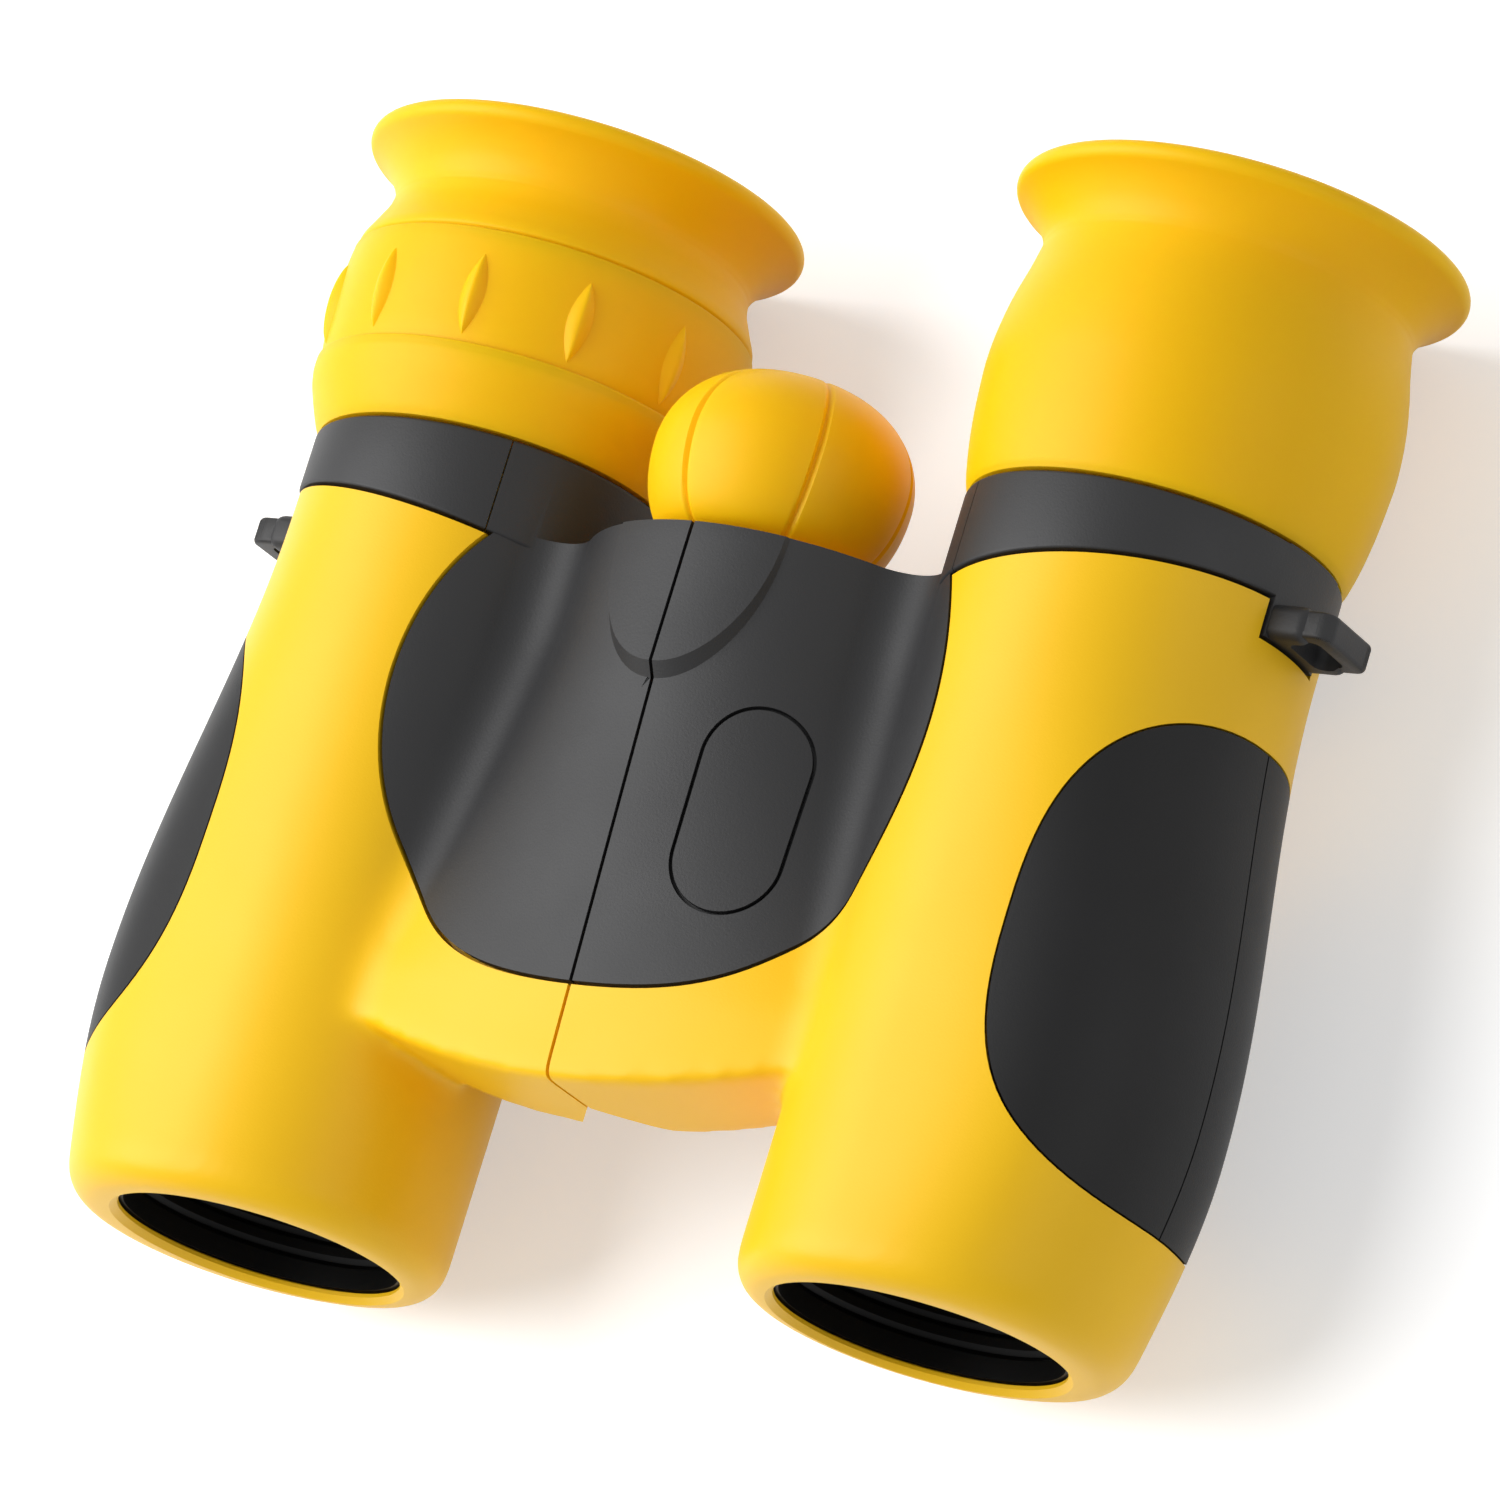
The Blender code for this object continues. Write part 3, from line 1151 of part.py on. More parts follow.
def build_eyepieces(right_half):
    """The plain left eyepiece, and the right one with its diopter ring."""
    field_rear = COLLAR_REAR + FIELD_LENS_THICKNESS
    left = {
        "left_eyepiece_tube": eyepiece_tube(),
        "left_eyecup": left_eyecup(),
        "left_eye_lens": eyepiece_lens("eye_lens", TUBE_REAR - SEAT_GAP, EYE_LENS_THICKNESS),
        "left_field_lens": eyepiece_lens("field_lens", field_rear, FIELD_LENS_THICKNESS),
    }
    for name, obj in left.items():
        fit_out(mirrored(obj), name, None)
    fit_out(eyepiece_base(), "right_eyepiece_base", right_half)
    turn = axis_empty("diopter_axis", AXIS_X, back(DIOPTER_FRONT), AXIS_Z, right_half)
    fit_out(diopter_ring(), "diopter_ring", turn)
    fit_out(right_eyecup(), "right_eyecup", turn)
    slide = axis_empty("ocular_travel", AXIS_X, back(COLLAR_REAR), AXIS_Z, right_half)
    fit_out(ocular_tube(), "right_ocular_tube", slide)
    eye = eyepiece_lens("eye_lens", TUBE_REAR - SEAT_GAP, EYE_LENS_THICKNESS)
    fit_out(eye, "right_eye_lens", slide)
    fit_out(eyepiece_lens("field_lens", field_rear, FIELD_LENS_THICKNESS), "right_field_lens", slide)


def build():
    clear_scene()
    right_half = axis_empty("fold_axis", 0.0, 0.0, HINGE_Z)
    build_half("left", None)
    build_half("right", right_half)
    build_eyepieces(right_half)
    left_slide = build_focus_slide("left", LEFT_ARM_STATION, None)
    build_focus_slide("right", RIGHT_ARM_STATION, right_half)
    fit_out(focus_nut(), "focus_nut", left_slide)
    fit_out(mirrored(badge()), "badge", None)
    fit_out(hinge_pin(), "hinge_front_pin", None)
    fit_out(hinge_bush(), "hinge_rear_bush", None)
    fit_out(focus_washer(), "focus_washer", None)
    wheel_axis = axis_empty("focus_axis", 0.0, back(WHEEL_FRONT), HINGE_Z)
    fit_out(focus_wheel(), "focus_wheel", wheel_axis)
    fit_out(focus_screw(), "focus_screw", wheel_axis)


build()
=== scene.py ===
"""Looks of a pair of compact folding binoculars, laid out as an add-on with an operator for each group.

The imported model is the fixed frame: metres, +Z up, +X to the user's right and +Y forward to the
objectives. A station is a distance back from the front rims, along the barrels. Pieces are modelled for
the right barrel, at +X, and mirrored for the left one.
"""

import json
import math

import bmesh
import bpy
from mathutils import Matrix, Vector


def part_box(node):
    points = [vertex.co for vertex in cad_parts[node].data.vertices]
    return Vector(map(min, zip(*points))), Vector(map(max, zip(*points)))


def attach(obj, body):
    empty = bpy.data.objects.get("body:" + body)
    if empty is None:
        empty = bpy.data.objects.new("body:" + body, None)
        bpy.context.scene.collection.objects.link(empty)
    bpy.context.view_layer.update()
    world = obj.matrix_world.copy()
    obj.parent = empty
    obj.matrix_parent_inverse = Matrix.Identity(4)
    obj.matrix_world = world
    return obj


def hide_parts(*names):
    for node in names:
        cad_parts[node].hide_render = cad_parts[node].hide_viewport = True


bl_info = {
    "name": "Folding binoculars",
    "version": (1, 0, 0),
    "blender": (4, 5, 0),
    "location": "3D View > Sidebar > Binoculars",
    "description": "Models the pieces of a pair of folding binoculars, with their finishes and a stage",
    "category": "Object",
}

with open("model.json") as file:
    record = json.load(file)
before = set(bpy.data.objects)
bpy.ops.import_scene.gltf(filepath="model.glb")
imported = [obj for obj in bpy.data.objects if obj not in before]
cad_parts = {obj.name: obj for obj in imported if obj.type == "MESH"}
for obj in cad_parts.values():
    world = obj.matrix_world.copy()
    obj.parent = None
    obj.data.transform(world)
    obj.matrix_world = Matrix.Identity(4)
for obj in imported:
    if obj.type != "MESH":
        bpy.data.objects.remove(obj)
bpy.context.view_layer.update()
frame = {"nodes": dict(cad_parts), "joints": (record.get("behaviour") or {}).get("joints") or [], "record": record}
FRONT_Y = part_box("right_barrel_shell")[1].y


def span(node):
    """The front and rear station of a node of the frame."""
    low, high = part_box(node)
    return FRONT_Y - high.y, FRONT_Y - low.y


def round_size(node):
    """The outer radius of a round node of the frame."""
    low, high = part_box(node)
    return (high.z - low.z) / 2


def middle(node):
    low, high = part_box(node)
    return (low + high) / 2


SEAT_GAP = 0.0003       # between pieces that are fitted together
RUN_GAP = 0.0002        # round a piece that turns or slides
CUT_MARGIN = 0.002      # how far a cutter reaches past the wall that it cuts
MERGE = 1e-6
COVER_HANG = 0.0007     # how far the covers hang over the rear of the bridge

# Places and sizes that come from the frame
AXIS_X = middle("right_objective_lens").x
AXIS_Z = middle("right_objective_lens").z
HINGE_Z = middle("hinge_front_pin").z
HINGE_RISE = HINGE_Z - AXIS_Z
COLLAR_REAR = span("right_strap_collar")[1]
LUG_FRONT = span("right_strap_collar")[0]
EYECUP_REAR = span("left_eyecup")[1]
EYEPIECE_FRONT = span("left_eyecup")[0]
TUBE_REAR = span("left_eyepiece_tube")[1]
PLUG_FRONT = span("left_eyepiece_tube")[0]
TUBE_RADIUS = round_size("left_eyepiece_tube")
OCULAR_RADIUS = round_size("right_ocular_tube")
EYE_LENS_RADIUS = round_size("right_eye_lens")
EYECUP_RIM_RADIUS = round_size("left_eyecup")
DIOPTER_FRONT, DIOPTER_REAR = span("diopter_ring")
WHEEL_FRONT, WHEEL_REAR = span("focus_wheel")
CELL_FRONT, CELL_REAR = span("right_objective_cell")
CELL_RADIUS = round_size("right_objective_cell")
LENS_RADIUS = round_size("right_objective_lens")
LINER_REAR = span("right_front_liner")[1]
BRIDGE_REAR = span("focus_washer")[0] - RUN_GAP
COVER_REAR = BRIDGE_REAR + COVER_HANG
KNUCKLE_PIN = span("hinge_front_pin")
KNUCKLE_BUSH = span("hinge_rear_bush")

# Steps round turned shapes and along curves
SHELL_STEPS = 120
ROUND_STEPS = 96
ROD_STEPS = 48
OVAL_STEPS = 112
ARC_STEPS = 10
VALLEY_SLICES = 24
WHEEL_STEPS = 72        # between two grooves, and along the drum
TRUE_UP_ROUNDS = 12

# Edges that are sharper than these are shaded as edges
SHARP = math.radians(34.0)
COVER_SHARP = math.radians(22.0)

# Forms
COVER_OVER = math.radians(80.0)     # how far a cover's layer runs up round the barrel
BRIDGE_OVER = math.radians(62.0)    # how far the bridge runs up round the barrel
WEDGE_STEPS = (1.45, 1.08, 1.08, 1.08, 1.08, 1.08, 2.2)     # how a grip's wedge widens, finely in the wall
GROOVE_FADE = 0.0008    # over which the wheel's grooves end
EYE_BULGE = 0.0008
OBJECTIVE_BULGE = 0.0011
PAD_SINK = 0.8          # how deep the thumb pad reaches into its cover, in shares of the thickness
LIP_EDGE = 0.00015      # rounding of the lips beside the diopter ring

# How far parts of the diopter lie inside its widest radius
BASE_LIP_TOP = 0.00006
BASE_LIP_UNDER = 0.00034
RING_UNDER_LIP = 0.00044
RING_LIP_TOP = 0.00022
RING_LIP_UNDER = 0.00046

# Outlines of the eyepieces: each point is so far behind a station and so far inside a radius
FLARE_ROWS = (
    (-0.0054, 0.0), (-0.0046, -0.00009), (-0.0036, -0.00055), (-0.0026, -0.00135), (-0.0019, -0.00216),
)
LEFT_CUP_ROWS = (
    (0.0008, 0.00115), (0.0028, 0.00070), (0.0053, 0.00033), (0.0078, 0.00011), (0.0102, 0.0),
    (0.0128, 0.00017), (0.0153, 0.00056), (0.0178, 0.00114),
)
RIGHT_CUP_ROWS = (
    (0.00005, 0.00058), (0.00035, 0.00040), (0.0009, 0.00052), (0.0016, 0.00086), (0.0026, 0.00132),
    (0.0036, 0.00176),
)
BASE_ROWS = ((0.0008, 0.00150), (0.0023, 0.00084), (0.0038, 0.00028), (0.0048, 0.00007))
RING_FRONT_ROWS = (
    (0.0003, 0.00036), (0.0010, 0.00020), (0.0020, 0.00010), (0.0044, 0.0), (0.0066, 0.00003),
)
RING_REAR_ROWS = ((-0.0012, 0.00012), (-0.00045, 0.00020))

# Hidden fittings: the bars of the focus arms, and the cover screws in their bosses, above the bridge's floor
ARM_START = 0.0034      # from the hinge line
ARM_HEIGHT = HINGE_Z - 0.0019
ARM_HALF = 0.0010
SCREW_HEAD_DEPTH = 0.0013
SCREW_HEAD_RADIUS = 0.0018
SCREW_HOLE_RADIUS = 0.0011
SCREW_SHANK_RADIUS = 0.0009
BOSS_START = 0.0040
BOSS_RADIUS = 0.0016
BOSS_ROOM_START = 0.0037
BOSS_ROOM_RADIUS = 0.0022

WHITE = (1.0, 1.0, 1.0, 1.0)
FLOOR_GLOW = 0.45       # makes the floor white to the camera


def length(name, description, default):
    return bpy.props.FloatProperty(
        name=name, description=description, default=default, precision=5, subtype="DISTANCE", unit="LENGTH"
    )


def angle(name, description, degrees):
    return bpy.props.FloatProperty(
        name=name, description=description, default=math.radians(degrees), subtype="ANGLE", unit="ROTATION"
    )


def count(name, description, default):
    return bpy.props.IntProperty(name=name, description=description, default=default, min=1)


def amount(name, description, default):
    return bpy.props.FloatProperty(name=name, description=description, default=default, subtype="FACTOR")


def power(name, description, default):
    return bpy.props.FloatProperty(name=name, description=description, default=default, unit="POWER")


def colour(name, description, default):
    return bpy.props.FloatVectorProperty(
        name=name, description=description, default=default, size=3, min=0.0, max=1.0, subtype="COLOR"
    )


class ShellSizes(bpy.types.PropertyGroup):
    """Sizes of the barrel shells and of the bridge between them."""

    radius: length("Barrel radius", "Outside of a barrel", 0.0144)
    bore: length("Bore radius", "Inside of a barrel", 0.0120)
    opening: length("Opening radius", "Front opening, inside the lip", 0.0112)
    lip_depth: length("Lip depth", "Thickness of the lip round the opening", 0.0008)
    rim_rounding: length("Rim rounding", "Rounding of the front rim", 0.0025)
    rim_bevel: length("Rim bevel", "Bevel inside the front rim", 0.0005)
    swell_height: length("Palm swell", "How far the outer side swells out", 0.0039)
    swell_station: length("Palm swell place", "Station of the top of the swell", 0.0183)
    swell_run: length("Palm swell run", "From the top of the swell to its front end", 0.0280)
    bridge_front: length("Bridge front", "Station of the front of the bridge", 0.0126)
    bridge_bow: length("Bridge bow", "Radius of the bowed front of the bridge, in plan", 0.0580)
    bridge_floor: length("Bridge floor", "Underside of the bridge above the barrel axes", 0.0010)
    hump_height: length("Hump height", "Top of the bridge above the barrel axes", 0.0150)
    hump_radius: length("Hump radius", "Radius of the hump over the hinge", 0.0177)
    valley_radius: length("Valley radius", "Radius of the hollow beside each barrel", 0.0042)
    rise: length("Valley rise", "How far the hollow beside each barrel rises towards the front", 0.0027)
    rise_rear: length("Valley rise rear", "Station where the rise starts", 0.0480)
    rise_run: length("Valley rise run", "Length of the rise's slope", 0.0280)
    drop: length("Hump drop", "How far the hump over the hinge falls off to its front", 0.0026)
    split_gap: length("Split gap", "Between the two halves above the hinge", 0.0003)
    right_notch: angle("Right notch", "Slope of the right fold notch", 36.0)
    left_notch: angle("Left notch", "Slope of the left fold notch", 52.0)
    knuckle_radius: length("Knuckle radius", "Outside of a hinge knuckle", 0.0042)
    mesh_size: length("Mesh size", "Size of the faces of the blended form", 0.00042)
    blend_passes: count("Blend passes", "How far barrel and bridge flow into each other", 24)


class CoverSizes(bpy.types.PropertyGroup):
    """Sizes of the dark top covers, their thumb pad and the badge."""

    thickness: length("Thickness", "Thickness of a cover", 0.0010)
    radius: length("Outline radius", "Round outline in plan", 0.0242)
    station: length("Outline place", "Station of the centre of the outline", 0.0430)
    flat: length("Outline flat", "How far the front of the outline is drawn back", 0.0013)
    flat_reach: length("Outline flat reach", "Half of the width of the flatter front", 0.0150)
    pad_front: length("Pad front height", "How far the thumb pad stands up at its front", 0.0009)
    pad_rear: length("Pad rear height", "How far the thumb pad stands up at its rear", 0.00018)
    pad_half_width: length("Pad half width", "Half of the width of the thumb pad", 0.0076)
    pad_length: length("Pad length", "Length of the thumb pad", 0.0124)
    pad_slope: amount("Pad slope", "Width of the slanted wall round the pad, in shares of its height", 1.2)
    badge_length: length("Badge length", "Length of the oval badge", 0.0160)
    badge_width: length("Badge width", "Width of the oval badge", 0.0083)
    badge_offset: length("Badge offset", "From the split to the middle of the badge", 0.0098)
    badge_station: length("Badge place", "Station of the middle of the badge", 0.0349)
    badge_tilt: angle("Badge tilt", "Slope that the badge lies on", 20.0)
    badge_depth: length("Badge depth", "Depth of the pocket that holds the badge", 0.0006)
    screw_offset: length("Screw offset", "From the split to a cover's screw", 0.0118)
    screw_station: length("Screw place", "Station of a cover's screw", 0.0440)


class CollarSizes(bpy.types.PropertyGroup):
    """Sizes of the collar bands and their strap lugs."""

    front: length("Front", "Station of the front edge, at the barrel's axis", 0.0567)
    slant: amount("Slant", "Slope of the front edge across the barrel", 0.137)
    wall: length("Wall", "Thickness of the band", 0.0013)
    proud: length("Proud", "How far the band stands out from the barrel", 0.00015)
    edge: length("Edge", "Rounding of the band's edges", 0.00025)
    seam: angle("Seam", "Where the band meets the cover, above the inward direction", 52.0)
    lug_reach: length("Lug reach", "How far a lug stands out from the barrel", 0.0047)
    lug_height: length("Lug height", "Height of a lug", 0.0076)
    lug_thickness: length("Lug thickness", "Thickness of a lug along the barrel", 0.00275)
    lug_wall: length("Lug wall", "Wall round the lug's slot", 0.0014)
    lug_edge: length("Lug edge", "Rounding of the lug's edges", 0.0008)
    lug_corner: length("Lug corner", "Rounding of the outer corners of the lug's loop", 0.0011)
    lug_root: length("Lug root", "How far the thick root of a lug stands out from the barrel", 0.0028)
    lug_step: length("Lug step", "How far the loop is set back from the root", 0.0003)
    seam_gap: length("Seam gap", "Between the band and the cover", 0.00012)


class GripSizes(bpy.types.PropertyGroup):
    """Sizes of the oval side grips."""

    thickness: length("Thickness", "Thickness of a grip", 0.0012)
    station: length("Place", "Station of the middle of a grip", 0.0288)
    half_length: length("Half length", "Half of the length of the oval", 0.0188)
    half_angle: angle("Half angle", "How far the oval runs round the barrel", 66.0)
    power: amount("Fullness", "Power of the oval, where 2 is an ellipse", 2.65)
    gap: length("Gap", "Between a grip and its pocket", 0.00016)
    line_depth: length("Line depth", "Depth of the fine mould line", 0.00012)
    line_width: length("Line width", "Width of the fine mould line", 0.00016)


class EyepieceSizes(bpy.types.PropertyGroup):
    """Sizes of the eyecups and of the diopter ring."""

    rim_edge: length("Rim edge", "Rounding of an eyecup's rim", 0.0008)
    rim_flat: length("Rim flat", "Flat face of an eyecup's rim", 0.0008)
    funnel: length("Funnel", "Depth of the funnel inside the rim", 0.0047)
    neck: length("Neck radius", "Waist below the flared rim", 0.0144)
    left_belly: length("Left belly", "Widest part of the long left eyecup", 0.01595)
    right_belly: length("Right belly", "Widest part of the diopter ring", 0.0164)
    ring_gap: length("Ring gap", "Between the diopter ring and its neighbours", 0.0001)
    lip: length("Lip", "Length of the lips that hide the gaps beside the diopter ring", 0.0005)
    rib_count: count("Ribs", "Number of ribs on the diopter ring", 12)
    rib_setback: length("Rib place", "From the front of the ring back to the middle of a rib", 0.0039)
    rib_length: length("Rib length", "Length of a rib", 0.0068)
    rib_width: length("Rib width", "Width of a rib", 0.0021)
    rib_height: length("Rib height", "How far a rib stands out", 0.0007)


class WheelSizes(bpy.types.PropertyGroup):
    """Sizes of the focus wheel."""

    radius: length("Radius", "Widest part of the wheel", 0.0101)
    front_radius: length("Front radius", "Flat front end of the wheel", 0.0062)
    rear_radius: length("Rear radius", "Flat middle of the domed rear end", 0.0030)
    groove_count: count("Grooves", "Number of finger grooves", 6)
    groove_width: length("Groove width", "Width of a groove", 0.0007)
    groove_depth: length("Groove depth", "Depth of a groove", 0.0004)
    groove_turn: angle("Groove turn", "Turn of the first groove from straight up", 13.0)


class FinishColours(bpy.types.PropertyGroup):
    """Colours of the finishes, linear."""

    yellow_plastic: colour("Yellow plastic", "Barrel shells", (0.96, 0.58, 0.008))
    yellow_deep: colour("Yellow plastic, deep", "Drift of the shells' colour", (0.94, 0.53, 0.006))
    yellow_rubber: colour("Yellow rubber", "Eyecups and focus wheel", (1.00, 0.56, 0.002))
    rubber_deep: colour("Yellow rubber, deep", "Drift of the eyecups' colour", (0.99, 0.53, 0.001))
    black_plastic: colour("Black plastic", "Covers and collars", (0.013, 0.013, 0.014))
    black_worn: colour("Black plastic, pale", "Drift of the covers' colour", (0.017, 0.017, 0.018))
    black_rubber: colour("Black rubber", "Side grips", (0.005, 0.005, 0.005))
    inner_black: colour("Inner black", "Inside of the barrels", (0.002, 0.002, 0.002))
    glass: colour("Glass", "Lenses and prisms", (0.86, 0.92, 0.93))
    steel: colour("Steel", "Pins and screws", (0.55, 0.55, 0.56))
    brass: colour("Brass", "Nut and bush", (0.66, 0.46, 0.18))
    nylon: colour("Nylon", "Washer", (0.75, 0.74, 0.70))


class StageSettings(bpy.types.PropertyGroup):
    """The camera's place, the lights and the floor."""

    target: bpy.props.FloatVectorProperty(
        name="Target", description="Point that the camera looks at", size=3,
        default=(-0.00686, FRONT_Y - 0.04072, 0.02684), subtype="TRANSLATION", unit="LENGTH", precision=5,
    )
    distance: length("Distance", "From the camera to its target", 0.79707)
    azimuth: angle("Azimuth", "Direction of the camera, from +X", 153.70)
    elevation: angle("Elevation", "Height of the camera", 51.32)
    roll: angle("Roll", "Turn of the camera about its own axis", -51.85)
    lens: bpy.props.FloatProperty(name="Lens", description="Focal length", default=257.8, unit="CAMERA")
    world: amount("World", "Strength of the light from all round", 0.33)
    key: power("Key", "Main soft light", 10.9)
    fill: power("Fill", "Soft light from the other side", 1.0)


class BinocularsSettings(bpy.types.PropertyGroup):
    """All that a user would change."""

    shell: bpy.props.PointerProperty(type=ShellSizes)
    cover: bpy.props.PointerProperty(type=CoverSizes)
    collar: bpy.props.PointerProperty(type=CollarSizes)
    grip: bpy.props.PointerProperty(type=GripSizes)
    eyepiece: bpy.props.PointerProperty(type=EyepieceSizes)
    wheel: bpy.props.PointerProperty(type=WheelSizes)
    finish: bpy.props.PointerProperty(type=FinishColours)
    stage: bpy.props.PointerProperty(type=StageSettings)


def settings():
    return bpy.context.scene.folding_binoculars


# Modelling by hand: each of these starts from a primitive and works on it in edit mode


def back(station):
    """The Y of a station."""
    return FRONT_Y - station


def choose(obj):
    """Makes one object the only selected one, in object mode."""
    if bpy.context.mode != "OBJECT":
        bpy.ops.object.mode_set(mode="OBJECT")
    bpy.ops.object.select_all(action="DESELECT")
    if obj:
        obj.select_set(True)
        bpy.context.view_layer.objects.active = obj


def edit_all(obj):
    choose(obj)
    bpy.ops.object.mode_set(mode="EDIT")
    bpy.ops.mesh.select_all(action="SELECT")


def outward():
    """Merges what coincides in the edited mesh, turns its faces outwards and goes back to object mode."""
    bpy.ops.mesh.select_all(action="SELECT")
    bpy.ops.mesh.remove_doubles(threshold=MERGE)
    bpy.ops.mesh.normals_make_consistent(inside=False)
    bpy.ops.object.mode_set(mode="OBJECT")


def drawn_line(points):
    """A line through points: one vertex, extruded from each point to the next. It stays in edit mode."""
    choose(None)
    bpy.ops.mesh.primitive_plane_add(size=CUT_MARGIN)
    line = bpy.context.object
    bpy.ops.object.mode_set(mode="EDIT")
    bpy.ops.mesh.merge(type="CENTER")
    bpy.ops.transform.translate(value=points[0])
    for here, there in zip(points, points[1:]):
        bpy.ops.mesh.extrude_vertices_move(TRANSFORM_OT_translate={"value": Vector(there) - Vector(here)})
    return line


def close_line(line):
    """Joins the last point of a drawn line to its first."""
    bpy.ops.mesh.select_all(action="DESELECT")
    shape = bmesh.from_edit_mesh(line.data)
    for vertex in shape.verts:
        vertex.select = len(vertex.link_edges) == 1
    bmesh.update_edit_mesh(line.data)
    bpy.ops.mesh.edge_face_add()


def spun(outline, x=None, z=None, steps=ROUND_STEPS):
    """A shape spun about a line along Y, from (station, radius) points. Its outline closes on itself, unless
    it starts and ends on the line."""
    x = AXIS_X if x is None else x
    z = AXIS_Z if z is None else z
    piece = drawn_line([(x + radius, back(station), z) for station, radius in outline])
    if outline[0][1] > 0:
        close_line(piece)
    bpy.ops.mesh.select_all(action="SELECT")
    bpy.ops.mesh.spin(steps=steps, angle=math.tau, center=(x, 0.0, z), axis=(0.0, 1.0, 0.0))
    outward()
    return piece


def rod(front, rear, radius, x=None, z=None, steps=ROD_STEPS):
    return spun([(front, 0.0), (front, radius), (rear, radius), (rear, 0.0)], x, z, steps)


def tube(front, rear, outer, inner, x=None, z=None, steps=ROUND_STEPS):
    return spun([(front, outer), (rear, outer), (rear, inner), (front, inner)], x, z, steps)


def drawn_out(points, along, slices=1):
    """A closed flat outline, filled and extruded along a vector, in equal slices."""
    piece = drawn_line(points)
    bpy.ops.mesh.select_all(action="SELECT")
    bpy.ops.mesh.edge_face_add()
    for _ in range(slices):
        bpy.ops.mesh.extrude_region_move(TRANSFORM_OT_translate={"value": Vector(along) / slices})
    outward()
    return piece


def section(outline, front, rear, slices=1):
    """An outline of (x, height above the barrel axes), drawn out between two stations."""
    points = [(x, back(front), AXIS_Z + height) for x, height in outline]
    return drawn_out(points, (0.0, front - rear, 0.0), slices)


def plan(outline):
    """An outline of (x, station) as a column that stands through the whole part."""
    points = [(x, back(station), 0.0) for x, station in outline]
    return drawn_out(points, (0.0, 0.0, 2 * AXIS_Z + CUT_MARGIN))


def box(low, high, edge=0.0):
    """A block between two corners, each (x, station, z), with its edges rounded."""
    corners = Vector((low[0], back(high[1]), low[2])), Vector((high[0], back(low[1]), high[2]))
    choose(None)
    bpy.ops.mesh.primitive_cube_add(size=1.0, location=(corners[0] + corners[1]) / 2)
    piece = bpy.context.object
    piece.scale = corners[1] - corners[0]
    bpy.ops.object.transform_apply(location=True, rotation=True, scale=True)
    if edge:
        edit_all(piece)
        bpy.ops.mesh.bevel(offset=edge, segments=4, affect="EDGES")
        outward()
    return piece


def pillar(x, station, low, high, radius, steps=ROD_STEPS):
    """An upright round bar between two heights above the barrel axes."""
    choose(None)
    place = (x, back(station), AXIS_Z + (low + high) / 2)
    bpy.ops.mesh.primitive_cylinder_add(vertices=steps, radius=radius, depth=high - low, location=place)
    bpy.ops.object.transform_apply(location=True)
    return bpy.context.object


def apply_modifier(piece, modifier):
    choose(piece)
    bpy.ops.object.modifier_apply(modifier=modifier.name)


def boolean(piece, tool, operation):
    """Joins, cuts or trims a piece with another one, which is used up."""
    modifier = piece.modifiers.new(operation.lower(), "BOOLEAN")
    modifier.operation = operation
    modifier.solver = "MANIFOLD"
    modifier.object = tool
    apply_modifier(piece, modifier)
    bpy.data.objects.remove(tool, do_unlink=True)
    if not piece.data.polygons:
        raise RuntimeError(f"nothing is left of {piece.name} after {operation.lower()}")
    return piece


def join(piece, tool):
    return boolean(piece, tool, "UNION")


def cut(piece, tool):
    return boolean(piece, tool, "DIFFERENCE")


def trim(piece, tool):
    return boolean(piece, tool, "INTERSECT")


def blended(piece, mesh_size, passes):
    """Gives a joined form an even mesh and lets its parts flow into each other."""
    even = piece.modifiers.new("even_mesh", "REMESH")
    even.mode = "VOXEL"
    even.voxel_size = mesh_size
    apply_modifier(piece, even)
    soft = piece.modifiers.new("soften", "SMOOTH")
    soft.factor = 0.5
    soft.iterations = passes
    apply_modifier(piece, soft)
    return piece


def mirrored(piece):
    """Turns a right-hand piece into a left-hand one."""
    edit_all(piece)
    bpy.ops.transform.resize(value=(-1.0, 1.0, 1.0), center_override=(0.0, 0.0, 0.0))
    bpy.ops.mesh.flip_normals()
    bpy.ops.object.mode_set(mode="OBJECT")
    return piece


def spread(first, last, steps):
    return [first + (last - first) * i / steps for i in range(steps + 1)]


def arc(centre, radius, start, end, steps=ARC_STEPS):
    """Points on an arc, from one angle to another."""
    turns = spread(start, end, steps)
    return [(centre[0] + radius * math.cos(a), centre[1] + radius * math.sin(a)) for a in turns]


def curve(points, steps=6):
    """A smooth line through points, in order."""
    line = [Vector(point) for point in points]
    ends = [line[0] * 2 - line[1]] + line + [line[-1] * 2 - line[-2]]
    smooth = []
    for before, here, there, after in zip(ends, ends[1:], ends[2:], ends[3:]):
        for i in range(steps):
            t = i / steps
            bend = (before * 2 - here * 5 + there * 4 - after) * t * t
            twist = (here * 3 - before - there * 3 + after) * t ** 3
            smooth.append((here * 2 + (there - before) * t + bend + twist) / 2)
    return [tuple(point) for point in smooth + [line[-1]]]


def look(slot):
    """The procedural material of a slot."""
    return bpy.data.materials[f"{slot}_look"]


